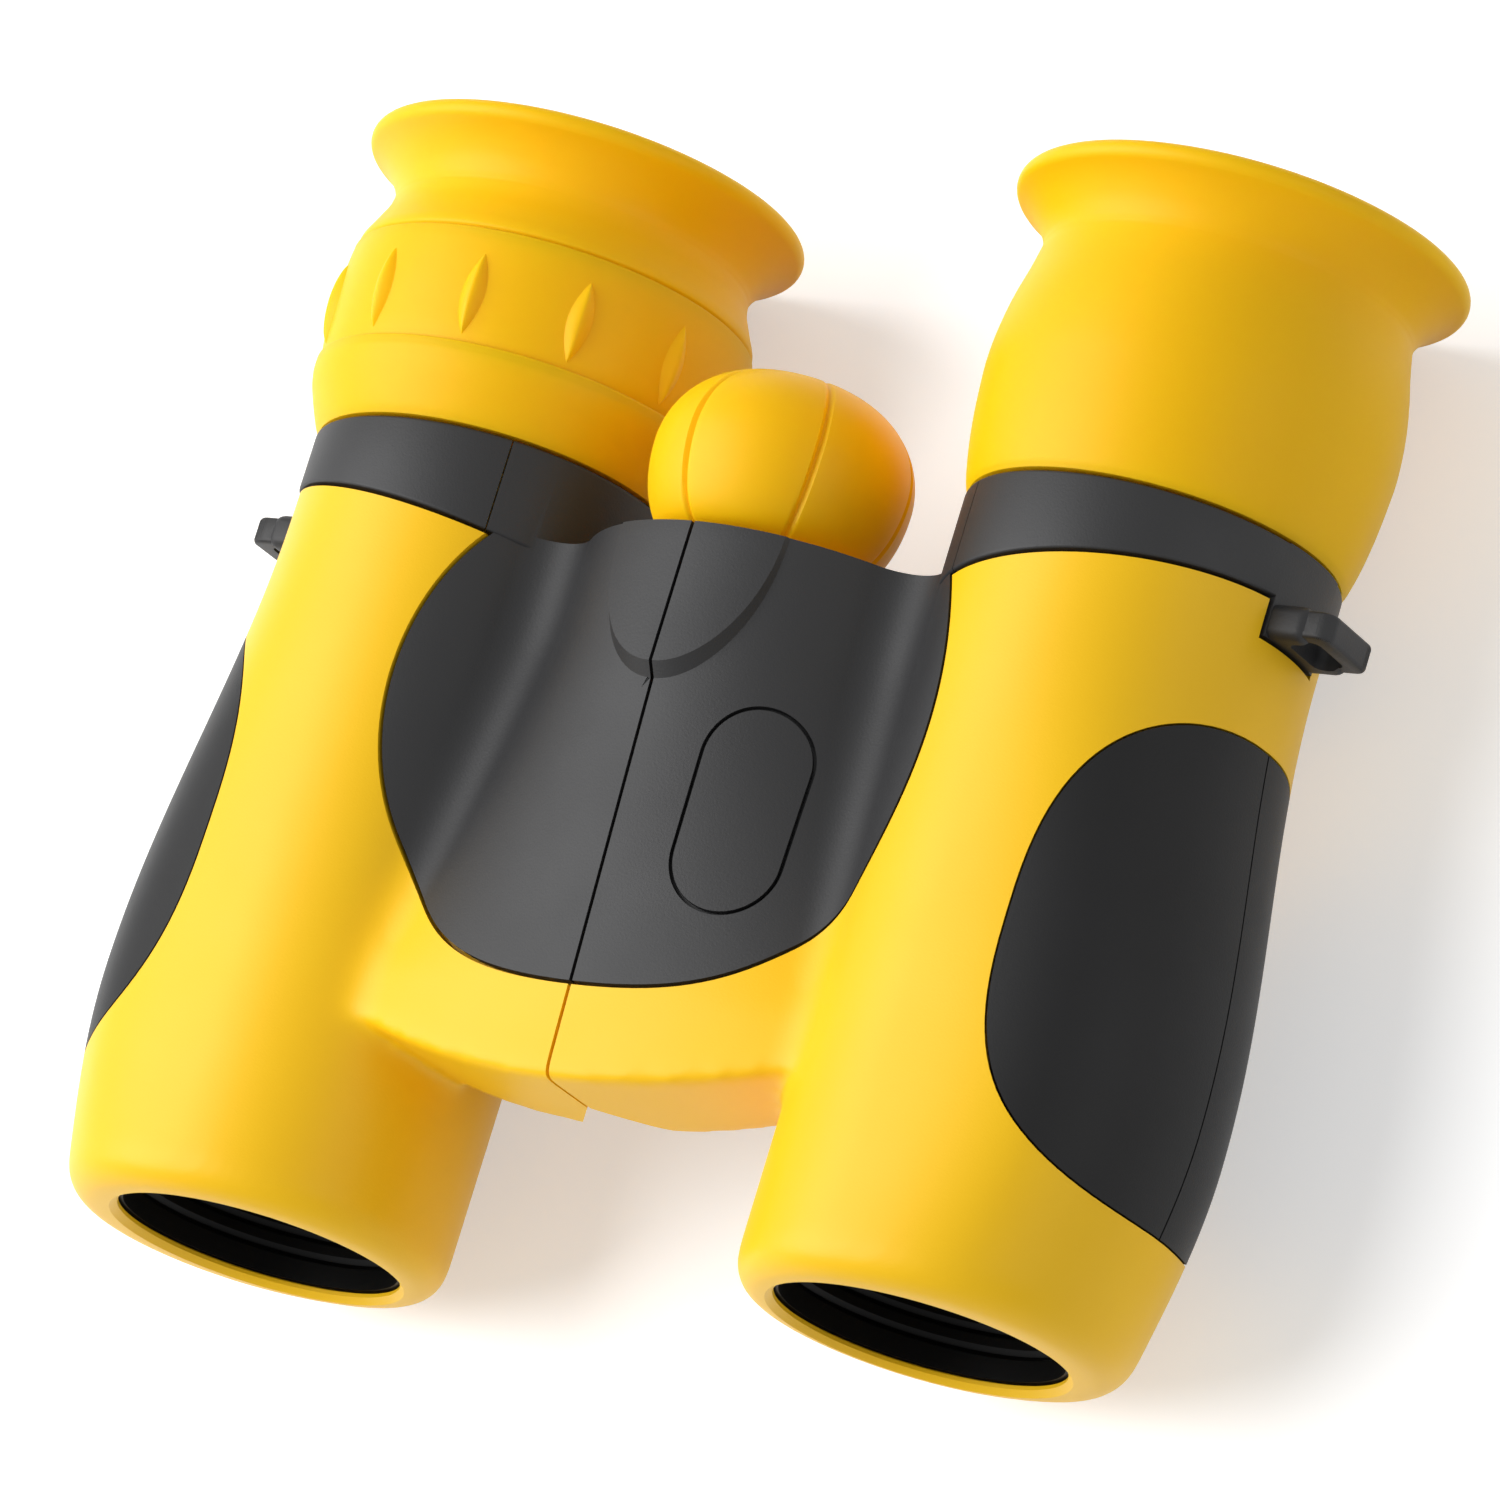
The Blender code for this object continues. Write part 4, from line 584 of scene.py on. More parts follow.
def seat_piece(piece, name, body, nodes, slot, sharp=SHARP):
    """Names a finished piece, checks that it is closed, and lets it ride in its node's place."""
    shape = bmesh.new()
    shape.from_mesh(piece.data)
    loose = sum(not edge.is_manifold for edge in shape.edges)
    volume = shape.calc_volume(signed=True)
    shape.free()
    if loose or volume <= 0:
        raise RuntimeError(f"{name} has {loose} open edges and a volume of {volume}")
    choose(piece)
    bpy.ops.object.shade_smooth_by_angle(angle=sharp)
    piece.name = name
    piece.data.name = name
    piece.data.materials.clear()
    piece.data.materials.append(look(slot))
    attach(piece, body)
    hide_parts(*nodes)
    return piece


def seat_pair(pair, name, node, slot, sharp=SHARP):
    """Seats a piece on each half. Both are modelled for the right one, so the second is mirrored."""
    right, left = pair
    for side, piece in (("right", right), ("left", mirrored(left))):
        seat_piece(piece, f"{name}_{side}", f"{side}_half", [f"{side}_{node}"], slot, sharp)


# Barrel shells


def swell(station):
    """How far the palm swell stands out at a station."""
    shell = settings().shell
    ahead = shell.swell_station - station
    run = shell.swell_run if ahead > 0 else settings().collar.front - shell.swell_station
    share = min(abs(ahead) / run, 1.0)
    return shell.swell_height * math.cos(share * math.pi / 2) ** 2


def swell_share(aside, around):
    """How much of the palm swell a place round the barrel takes up, softly from top and bottom."""
    full_from = 0.6
    return math.sin(min(max(0.0, aside) / around / full_from, 1.0) * math.pi / 2)


def swell_out(piece):
    """Moves the outer side of a barrel-shaped piece outwards."""
    for vertex in piece.data.vertices:
        aside = vertex.co.x - AXIS_X
        around = math.hypot(aside, vertex.co.z - AXIS_Z)
        if around > settings().shell.bore / 2:
            vertex.co.x += swell(FRONT_Y - vertex.co.y) * swell_share(aside, around)
    return piece


def true_up(piece):
    """Draws the outer side of a blended barrel back to the exact shape, softly from its top and front."""
    shell = settings().shell
    soft = 2 * shell.rim_rounding
    for vertex in piece.data.vertices:
        station = FRONT_Y - vertex.co.y
        aside = vertex.co.x - AXIS_X
        weight = min(1.0, aside / soft + 1.0, station / soft - 0.5)
        if weight <= 0.0 or station > COLLAR_REAR - shell.rim_rounding:
            continue
        height = vertex.co.z - AXIS_Z
        for _ in range(TRUE_UP_ROUNDS):
            aside = vertex.co.x - AXIS_X - swell(station) * swell_share(aside, math.hypot(aside, height))
        around = math.hypot(aside, height)
        out = shell.radius / around
        x = AXIS_X + aside * out + swell(station) * swell_share(aside, around)
        vertex.co.x += weight * (x - vertex.co.x)
        vertex.co.z += weight * height * (out - 1.0)
    return piece


def valley_centre():
    """The centre of the arc that runs smoothly from the hump over the hinge into a barrel."""
    shell = settings().shell
    hump = Vector((0.0, shell.hump_height - shell.hump_radius))
    barrel = Vector((AXIS_X, 0.0))
    to_barrel = barrel - hump
    along_hump = shell.hump_radius + shell.valley_radius
    along_barrel = shell.radius + shell.valley_radius
    reach = (to_barrel.length_squared + along_hump ** 2 - along_barrel ** 2) / (2 * to_barrel.length)
    rise = math.sqrt(along_hump ** 2 - reach ** 2)
    direction = to_barrel.normalized()
    return hump + direction * reach + Vector((-direction.y, direction.x)) * rise


def top_line(raised, start, barrel_end, steps=24):
    """The top of the right half as (x, height), from an x near the split over to the barrel, moved outwards
    by a distance. The barrel's arc ends at an angle counted from the inward side."""
    shell = settings().shell
    hump = Vector((0.0, shell.hump_height - shell.hump_radius))
    valley = valley_centre()
    to_hump = valley - hump
    to_barrel = valley - Vector((AXIS_X, 0.0))
    hump_angle = math.atan2(to_hump.y, to_hump.x)
    barrel_angle = math.atan2(to_barrel.y, to_barrel.x)
    split_angle = math.acos(start / (shell.hump_radius + raised))
    line = arc(hump, shell.hump_radius + raised, split_angle, hump_angle, steps)
    turn = (hump_angle + math.pi, barrel_angle + math.pi)
    line += arc(valley, shell.valley_radius - raised, *turn, steps)[1:]
    return line + arc((AXIS_X, 0.0), shell.radius + raised, barrel_angle, math.pi - barrel_end, steps)[1:]


def top_height(x, hump_height, floor):
    """The height of the top above the barrel axes at an x, for the heights of the hump and of the hollow's
    floor. The hump runs smoothly into the hollow, and the hollow into the barrel."""
    shell = settings().shell
    hollow = shell.valley_radius
    valley_z = floor + hollow
    valley_x = AXIS_X - math.sqrt((shell.radius + hollow) ** 2 - valley_z ** 2)
    over = valley_z - hump_height
    hump_radius = (valley_x ** 2 + over ** 2 - hollow ** 2) / (2 * (hollow - over))
    if x < valley_x * hump_radius / (hump_radius + hollow):
        return hump_height - hump_radius + math.sqrt(hump_radius ** 2 - x ** 2)
    if x < valley_x + (AXIS_X - valley_x) * hollow / (shell.radius + hollow):
        return valley_z - math.sqrt(hollow ** 2 - (x - valley_x) ** 2)
    return math.sqrt(max(0.0, shell.radius ** 2 - (x - AXIS_X) ** 2))


def valley_floor():
    return valley_centre().y - settings().shell.valley_radius


def top_at(x, station):
    """The height of the top at a place: the bridge gets lower and flatter towards its front."""
    shell = settings().shell
    rise = max(0.0, min(1.0, (shell.rise_rear - station) / shell.rise_run))
    fall = max(0.0, min(1.0, (BRIDGE_REAR - station) / (BRIDGE_REAR - shell.bridge_front)))
    hump_height = shell.hump_height - shell.drop * fall
    return top_height(abs(x), hump_height, valley_floor() + shell.rise * rise)


def top_lift(x, station):
    """How far the top at a place lies above the top at the rear of the bridge."""
    return top_at(x, station) - top_height(abs(x), settings().shell.hump_height, valley_floor())


def lift_top(form):
    """Moves the top of a sliced form up or down, to where it gets flatter towards the front."""
    for vertex in form.data.vertices:
        if vertex.co.z > HINGE_Z:
            vertex.co.z += top_lift(vertex.co.x, FRONT_Y - vertex.co.y)
    return form


def band(raised, sunk, front, rear, start):
    """The layer between two offsets of the half's top, from an x near the split."""
    outline = top_line(raised, start, COVER_OVER) + top_line(-sunk, start, COVER_OVER)[::-1]
    return lift_top(section(outline, front, rear, VALLEY_SLICES))


def cover_column(spare):
    """The round outline of a cover in plan, flatter at its front, cut off at the rear of the bridge."""
    cover = settings().cover
    rear = COVER_REAR + spare
    radius = cover.radius + spare
    end = math.asin((rear - cover.station) / radius)
    outline = []
    for x, station in arc((0.0, cover.station), radius, -math.pi / 2, end, OVAL_STEPS // 2):
        near = 1 - min(1.0, x / cover.flat_reach) ** 2
        outline.append((x, station + cover.flat * near ** 2))
    return plan(outline + [(0.0, rear)])


def slanted(ring):
    """Slants the front edge of a collar ring, which lies further back on the outer side of the barrel."""
    collar = settings().collar
    for vertex in ring.data.vertices:
        ahead = vertex.co.y - back(COLLAR_REAR)
        share = max(0.0, min(1.0, ahead / (COLLAR_REAR - collar.front)))
        vertex.co.y -= share * collar.slant * (vertex.co.x - AXIS_X)
    return ring


def lug_stretch(outer, inner, gap):
    """The stretch of a ring that carries the strap lug on its front end."""
    collar = settings().collar
    half = collar.lug_height / 2 + gap
    low = (AXIS_X, LUG_FRONT - gap - CUT_MARGIN, AXIS_Z - half)
    high = (AXIS_X + outer + CUT_MARGIN, COLLAR_REAR + CUT_MARGIN, AXIS_Z + half)
    return trim(tube(LUG_FRONT - gap, COLLAR_REAR, outer, inner, steps=SHELL_STEPS), box(low, high))


def grip_layer(sunk, raised):
    """The layer of a barrel's outside that a side grip fills."""
    grip = settings().grip
    radius = settings().shell.radius
    front = grip.station - grip.half_length - CUT_MARGIN
    stations = spread(front, grip.station + grip.half_length + CUT_MARGIN, 42)
    outline = [(station, radius + raised) for station in stations]
    outline += [(station, radius - sunk) for station in reversed(stations)]
    return swell_out(spun(outline, steps=2 * SHELL_STEPS))


def grip_wedge(spare):
    """A solid that spreads out from the barrel's axis through the oval of a side grip."""
    grip = settings().grip
    shell = settings().shell
    inner = shell.bore * 0.75
    points = []
    for turn in spread(0.0, math.tau, OVAL_STEPS)[:-1]:
        power = 2 / grip.power
        along = math.copysign(abs(math.cos(turn)) ** power, math.cos(turn))
        across = math.copysign(abs(math.sin(turn)) ** power, math.sin(turn))
        station = grip.station + (grip.half_length + spare) * along
        around = (grip.half_angle + spare / shell.radius) * across
        points.append((AXIS_X + inner * math.cos(around), back(station), AXIS_Z + inner * math.sin(around)))
    wedge = drawn_line(points)
    bpy.ops.mesh.select_all(action="SELECT")
    bpy.ops.mesh.edge_face_add()
    centre = (AXIS_X, back(grip.station), AXIS_Z)
    for widen in WEDGE_STEPS:
        bpy.ops.mesh.extrude_region_move()
        bpy.ops.transform.resize(value=(widen, 1.0, widen), center_override=centre)
    shape = bmesh.from_edit_mesh(wedge.data)
    for face in shape.faces:
        face.select_set(len(face.verts) > 4)
    bmesh.update_edit_mesh(wedge.data)
    bpy.ops.mesh.poke()
    outward()
    return wedge


def barrel_form():
    """The outside of a barrel, solid, with a soft front rim and the palm swell."""
    shell = settings().shell
    rounding = shell.rim_rounding
    rim = arc((rounding, shell.radius - rounding), rounding, math.pi, math.pi / 2)
    outline = [(0.0, 0.0)] + rim
    outline += [(station, shell.radius) for station in spread(rounding, COLLAR_REAR, 60)[1:]]
    return swell_out(spun(outline + [(COLLAR_REAR, 0.0)], steps=SHELL_STEPS))


def bridge_form():
    """The bridge from the barrel to past the split, with its bowed front."""
    shell = settings().shell
    past = -2 * CUT_MARGIN
    inside = AXIS_X - shell.bore / 2
    outline = top_line(0.0, past, BRIDGE_OVER)
    outline += [(inside, outline[-1][1] - shell.rim_rounding), (inside, shell.bridge_floor)]
    outline += [(past, shell.bridge_floor)]
    form = lift_top(section(outline, shell.bridge_front - CUT_MARGIN, BRIDGE_REAR, VALLEY_SLICES))
    centre = shell.bridge_front + shell.bridge_bow
    return trim(form, pillar(0.0, centre, -AXIS_Z, 2 * AXIS_Z, shell.bridge_bow, 2 * SHELL_STEPS))


def fold_notch(slope):
    """The wedge below the hinge line that lets the halves fold."""
    shell = settings().shell
    half_gap = shell.split_gap / 2
    below = shell.bridge_floor - CUT_MARGIN
    far = half_gap + math.tan(slope) * (HINGE_RISE - below)
    past = -4 * CUT_MARGIN
    outline = [(past, HINGE_RISE), (half_gap, HINGE_RISE), (far, below), (past, below)]
    return section(outline, 0.0, BRIDGE_REAR + CUT_MARGIN)


def bore_form():
    """The way through a barrel: a bevelled opening, a lip and the bore."""
    shell = settings().shell
    wide = shell.opening + shell.rim_bevel + CUT_MARGIN
    end = COLLAR_REAR + CUT_MARGIN
    return spun(
        [(-CUT_MARGIN, 0.0), (-CUT_MARGIN, wide), (shell.rim_bevel, shell.opening),
         (shell.lip_depth, shell.opening), (shell.lip_depth, shell.bore), (end, shell.bore), (end, 0.0)],
        steps=SHELL_STEPS,
    )


def hinge_rod(front, rear, radius):
    return rod(front, rear, radius, 0.0, HINGE_Z)


def cut_hinge(shell_piece, side):
    """Cuts the hinge's cavity, the rooms for the other half's knuckles and the holes, and adds knuckles."""
    shell = settings().shell
    front, cavity_front = KNUCKLE_PIN[0], KNUCKLE_PIN[1] + SEAT_GAP
    step = (cavity_front - front) / 2
    knuckle = step - SEAT_GAP
    rear = KNUCKLE_BUSH[0]
    room = shell.knuckle_radius + SEAT_GAP
    half_gap = SEAT_GAP / 2
    cavity = 0.0050
    cut(shell_piece, hinge_rod(cavity_front, rear - SEAT_GAP, cavity))
    if side == "right":
        own = (front + step, rear)
        rooms = (
            (front - SEAT_GAP, own[0] + half_gap), (own[1] + knuckle - half_gap, BRIDGE_REAR + CUT_MARGIN)
        )
    else:
        own = (front, rear + step)
        rooms = (
            (own[0] + knuckle - half_gap, cavity_front + half_gap), (rear - 2 * SEAT_GAP, own[1] + half_gap)
        )
    for ends in rooms:
        cut(shell_piece, hinge_rod(*ends, room))
    for station in own:
        join(shell_piece, hinge_rod(station, station + knuckle, shell.knuckle_radius))
    hole = round_size("hinge_front_pin") + RUN_GAP
    cut(shell_piece, hinge_rod(front - SEAT_GAP, cavity_front + SEAT_GAP, hole))
    hole = round_size("hinge_rear_bush") + RUN_GAP
    return cut(shell_piece, hinge_rod(rear - 2 * SEAT_GAP, BRIDGE_REAR + CUT_MARGIN, hole))


def arm_block(front, rear):
    """A block round the bar of a focus arm, between two stations."""
    half = ARM_HALF + SEAT_GAP
    low = (ARM_START, front, ARM_HEIGHT - half)
    return box(low, (AXIS_X - settings().shell.bore / 2, rear, ARM_HEIGHT + half))


def arm_room(side):
    """The slot that lets a focus arm reach its objective cell, with room for its travel."""
    travel = max(joint["range_m"][1] for joint in frame["joints"] if joint["name"] == f"{side}_focus")
    spare = SEAT_GAP + travel
    front, rear = span(f"{side}_focus_arm")
    return arm_block(front - spare, rear + spare)


def screw_pillar(low, high, radius):
    """An upright bar in the line of a cover's screw."""
    cover = settings().cover
    return pillar(cover.screw_offset, cover.screw_station, low, high, radius)


def barrel_shell(side):
    """A barrel with its half of the bridge, its hinge knuckles and the seats for what it carries."""
    shell = settings().shell
    cover = settings().cover
    collar = settings().collar
    piece = true_up(blended(join(barrel_form(), bridge_form()), shell.mesh_size, shell.blend_passes))
    far = 4 * CUT_MARGIN
    half_gap = shell.split_gap / 2
    cut(piece, box((-far, -far, -far), (half_gap, EYECUP_REAR, 2 * AXIS_Z + far)))
    cut(piece, fold_notch(shell.right_notch if side == "right" else shell.left_notch))
    rear = BRIDGE_REAR + 2 * CUT_MARGIN
    recess = band(CUT_MARGIN, cover.thickness + SEAT_GAP, shell.bridge_front, rear, -CUT_MARGIN)
    cut(piece, trim(recess, cover_column(SEAT_GAP)))
    neck = shell.radius - collar.wall - SEAT_GAP
    outer = shell.radius + CUT_MARGIN
    rear = COLLAR_REAR + CUT_MARGIN
    cut(piece, slanted(tube(collar.front - SEAT_GAP, rear, outer, neck, steps=SHELL_STEPS)))
    cut(piece, lug_stretch(shell.radius + collar.lug_reach, neck, SEAT_GAP))
    pocket = grip_layer(settings().grip.thickness + SEAT_GAP, CUT_MARGIN)
    cut(piece, trim(pocket, grip_wedge(settings().grip.gap)))
    cut(piece, bore_form())
    cut_hinge(piece, side)
    cut(piece, arm_room(side))
    floor = shell.bridge_floor
    top = shell.hump_height
    cut(piece, screw_pillar(floor - CUT_MARGIN, floor + SCREW_HEAD_DEPTH, SCREW_HEAD_RADIUS))
    cut(piece, screw_pillar(floor, top, SCREW_HOLE_RADIUS))
    cut(piece, screw_pillar(floor + BOSS_ROOM_START, top, BOSS_ROOM_RADIUS))
    return piece


# Covers and badge


def pad_form():
    """The raised thumb pad of the right half, with a slanted wall, sunk into the cover below it."""
    cover = settings().cover
    shell = settings().shell
    start = shell.split_gap / 2
    rear = COVER_REAR + CUT_MARGIN
    straight = 0.1
    under = 0.25
    choose(None)
    bpy.ops.mesh.primitive_grid_add(x_subdivisions=16, y_subdivisions=60, size=1.0)
    pad = bpy.context.object
    edge = min(v.co.x for v in pad.data.vertices)
    second = min(v.co.x for v in pad.data.vertices if v.co.x > edge + MERGE)
    for vertex in pad.data.vertices:
        round_share = max(0.0, vertex.co.y + 0.5 - straight) / (1 - straight)
        turn = round_share * math.pi / 2
        past = CUT_MARGIN * max(0.0, 1 - (vertex.co.y + 0.5) / straight)
        inward = max(0.0, (vertex.co.x - second) / (0.5 - second))
        wall = -under if vertex.co.x < second - MERGE else 1.0
        half_width = cover.pad_half_width - wall * cover.pad_slope * cover.pad_rear
        reach = cover.pad_length - wall * cover.pad_slope * cover.pad_front
        x = start + (half_width - start) * math.cos(turn) * (1 - inward)
        station = COVER_REAR + past - reach * math.sin(turn)
        station += (rear - station) * inward
        ahead = max(0.0, (COVER_REAR - station) / cover.pad_length)
        lift = wall * (cover.pad_rear + (cover.pad_front - cover.pad_rear) * ahead)
        rise = math.sqrt((shell.hump_radius + lift) ** 2 - x * x) + top_lift(x, station)
        vertex.co = (x, back(station), AXIS_Z + shell.hump_height - shell.hump_radius + rise)
    edit_all(pad)
    bpy.ops.mesh.remove_doubles(threshold=MERGE)
    down = (0.0, 0.0, -PAD_SINK * cover.thickness)
    bpy.ops.mesh.extrude_region_move(TRANSFORM_OT_translate={"value": down})
    outward()
    return pad


def badge_column(spare):
    """The outline of the badge, with round ends, as a column square to the slope it lies on."""
    cover = settings().cover
    half = cover.badge_width / 2 + spare
    straight = (cover.badge_length - cover.badge_width) / 2
    outline = arc((0.0, straight), half, 0.0, math.pi, 4 * ARC_STEPS)
    outline += arc((0.0, -straight), half, math.pi, math.tau, 4 * ARC_STEPS)
    height = AXIS_Z + top_at(cover.badge_offset, cover.badge_station)
    place = Matrix.Translation((cover.badge_offset, back(cover.badge_station), height))
    place = place @ Matrix.Rotation(cover.badge_tilt, 4, "Y")
    points = [place @ Vector((x, y, -CUT_MARGIN)) for x, y in outline]
    return drawn_out(points, place.to_3x3() @ Vector((0.0, 0.0, 2 * CUT_MARGIN)))


def seam_sector(half_angle):
    """A wedge about a barrel's axis that opens towards the hinge."""
    outline = [(AXIS_X, 0.0)]
    outline += [(AXIS_X * (1 - math.cos(a)), AXIS_X * math.sin(a)) for a in (half_angle, 0.0, -half_angle)]
    return section(outline, settings().collar.front - 2 * CUT_MARGIN, COLLAR_REAR + CUT_MARGIN)


def collar_ring():
    """The band round a barrel, with rounded edges and a slanted front."""
    collar = settings().collar
    outer = settings().shell.radius + collar.proud
    inner = settings().shell.radius - collar.wall
    edge = collar.edge
    outline = arc((collar.front + edge, outer - edge), edge, math.pi, math.pi / 2, 5)
    outline += arc((COLLAR_REAR - edge, outer - edge), edge, math.pi / 2, 0.0, 5)
    return slanted(spun(outline + [(COLLAR_REAR, inner), (collar.front, inner)], steps=SHELL_STEPS))


def cover_piece(side):
    """A dark top cover: a plate with the thumb pad, a screw boss and the inner stretch of the collar."""
    cover = settings().cover
    shell = settings().shell
    plate = band(0.0, cover.thickness, shell.bridge_front, COVER_REAR + CUT_MARGIN, shell.split_gap / 2)
    trim(join(plate, pad_form()), cover_column(0.0))
    boss_top = top_at(cover.screw_offset, cover.screw_station) - 2 * cover.thickness
    floor = shell.bridge_floor
    join(plate, screw_pillar(floor + BOSS_START, boss_top, BOSS_RADIUS))
    join(plate, trim(collar_ring(), seam_sector(settings().collar.seam)))
    cut(plate, screw_pillar(floor, boss_top - cover.thickness, SCREW_HOLE_RADIUS))
    if side == "left":
        pocket = band(CUT_MARGIN / 2, cover.badge_depth, shell.bridge_front, BRIDGE_REAR, 0.0)
        cut(plate, trim(pocket, badge_column(SEAT_GAP)))
    return plate


def badge_piece():
    cover = settings().cover
    front = cover.badge_station - cover.badge_length
    return trim(band(0.0, cover.badge_depth - RUN_GAP, front, BRIDGE_REAR, 0.0), badge_column(0.0))


def collar_piece():
    """The outer stretch of the collar band, with a slotted lug for a neck strap."""
    collar = settings().collar
    shell = settings().shell
    outer = shell.radius + collar.proud
    inner = shell.radius - collar.wall
    piece = cut(collar_ring(), seam_sector(collar.seam + collar.seam_gap / shell.radius))
    join(piece, lug_stretch(outer, inner, 0.0))
    return join(piece, strap_lug())


def strap_lug():
    """A lug with a thick root and a thinner loop round its slot."""
    collar = settings().collar
    shell = settings().shell
    outer = AXIS_X + shell.radius
    half = collar.lug_height / 2
    rear = LUG_FRONT + collar.lug_thickness
    low = (outer - collar.wall + 2 * collar.proud, LUG_FRONT, AXIS_Z - half)
    lug = box(low, (outer + collar.lug_root, rear, AXIS_Z + half), collar.lug_edge)
    side = half - collar.lug_step
    reach = outer + collar.lug_reach
    corner = collar.lug_corner
    outline = arc((reach - corner, side - corner), corner, math.pi / 2, 0.0)
    outline += arc((reach - corner, corner - side), corner, 0.0, -math.pi / 2)
    outline += [(outer, -side), (outer, side)]
    loop = section(outline, LUG_FRONT + collar.lug_step, rear - collar.lug_step)
    choose(loop)
    bpy.ops.object.mode_set(mode="EDIT")
    bpy.ops.mesh.select_all(action="DESELECT")
    bpy.ops.mesh.edges_select_sharp(sharpness=math.radians(40.0))
    bpy.ops.mesh.bevel(offset=collar.lug_step, segments=3, affect="EDGES")
    outward()
    join(lug, loop)
    slot = half - collar.lug_wall
    low = (outer + collar.proud + collar.lug_wall / 2, LUG_FRONT - CUT_MARGIN, AXIS_Z - slot)
    return cut(lug, box(low, (reach - collar.lug_wall, rear + CUT_MARGIN, AXIS_Z + slot), collar.lug_edge))


def grip_piece():
    """An oval rubber pad with a fine mould line along its middle."""
    grip = settings().grip
    piece = trim(grip_layer(grip.thickness, 0.0), grip_wedge(0.0))
    line = grip_layer(grip.line_depth, CUT_MARGIN)
    half = grip.line_width / 2
    low = (AXIS_X, 0.0, AXIS_Z - half)
    high = (AXIS_X + 2 * AXIS_Z, COLLAR_REAR, AXIS_Z + half)
    return cut(piece, trim(line, box(low, high)))


# Eyepieces


def placed(rows, station, radius):
    """The points of an outline's rows behind a station and inside a radius."""
    return [(station + along, radius - inside) for along, inside in rows]


def flare_outline():
    """The flared end of an eyecup, from its neck over the rim to the funnel's throat."""
    eyepiece = settings().eyepiece
    rim = EYECUP_RIM_RADIUS
    edge = eyepiece.rim_edge
    over = arc((EYECUP_REAR - edge, rim - edge), edge, math.radians(144.0), 0.0)
    outline = curve(placed(FLARE_ROWS, EYECUP_REAR, eyepiece.neck) + over[:1]) + over[1:]
    inner = rim - edge - eyepiece.rim_flat
    outline += arc((EYECUP_REAR - edge / 2, inner), edge / 2, 0.0, -math.pi / 3)
    return outline + [(EYECUP_REAR - eyepiece.funnel, TUBE_RADIUS)]


def left_eyecup():
    """One long rubber sleeve with a belly, a neck and a flared rim."""
    seat = TUBE_RADIUS + SEAT_GAP
    flare = flare_outline()
    start = [(EYEPIECE_FRONT, settings().shell.radius)]
    belly = placed(LEFT_CUP_ROWS, EYEPIECE_FRONT, settings().eyepiece.left_belly)
    outline = curve(start + belly + flare[:1]) + flare[1:]
    outline += [(TUBE_REAR + SEAT_GAP, TUBE_RADIUS), (TUBE_REAR + SEAT_GAP, seat), (EYEPIECE_FRONT, seat)]
    return spun(outline, steps=SHELL_STEPS)


def right_eyecup():
    """The short eyecup behind the diopter ring."""
    eyepiece = settings().eyepiece
    front = DIOPTER_REAR - eyepiece.lip + eyepiece.ring_gap
    flare = flare_outline()
    belly = placed(RIGHT_CUP_ROWS, DIOPTER_REAR, eyepiece.right_belly)
    outline = curve([(front, belly[0][1])] + belly + flare[:1])
    return spun(outline + flare[1:] + [(front, TUBE_RADIUS)], steps=SHELL_STEPS)


def eyepiece_base():
    """The fixed base of the right eyepiece, with a thin lip over the front of the diopter ring."""
    eyepiece = settings().eyepiece
    rear = DIOPTER_FRONT
    step = rear - eyepiece.lip - eyepiece.ring_gap
    end = span("right_eyepiece_base")[1]
    bore = OCULAR_RADIUS + RUN_GAP
    belly = eyepiece.right_belly
    under = belly - BASE_LIP_UNDER
    outline = [(PLUG_FRONT, CELL_RADIUS), (EYEPIECE_FRONT, CELL_RADIUS)]
    start = [(EYEPIECE_FRONT, settings().shell.radius)]
    end_point = [(rear - 0.0005, belly - BASE_LIP_TOP)]
    outline += curve(start + placed(BASE_ROWS, EYEPIECE_FRONT, belly) + end_point)
    outline += arc((rear - LIP_EDGE, belly - BASE_LIP_TOP - LIP_EDGE), LIP_EDGE, math.pi / 2, 0.0, 4)
    outline += [(rear, under), (step, under), (step, TUBE_RADIUS), (end, TUBE_RADIUS)]
    outline += [(end, bore), (PLUG_FRONT, bore)]
    return spun(outline, steps=SHELL_STEPS)


def ring_line():
    """The outside of the diopter ring as (station, radius), from under the base's lip to its own rear lip."""
    eyepiece = settings().eyepiece
    belly = eyepiece.right_belly
    start = belly - RING_UNDER_LIP
    line = [(DIOPTER_FRONT - eyepiece.lip, start), (DIOPTER_FRONT + eyepiece.ring_gap, start)]
    ahead = placed(RING_FRONT_ROWS, DIOPTER_FRONT, belly)
    line += curve(ahead + placed(RING_REAR_ROWS, DIOPTER_REAR, belly))
    centre = (DIOPTER_REAR - LIP_EDGE, belly - RING_LIP_TOP - LIP_EDGE)
    return line + arc(centre, LIP_EDGE, math.pi / 2, 0.0, 4)


def radius_at(line, station):
    for (s0, r0), (s1, r1) in zip(line, line[1:]):
        if s0 <= station <= s1:
            return r0 + (r1 - r0) * (station - s0) / (s1 - s0)
    raise ValueError(f"station {station} is past the line")


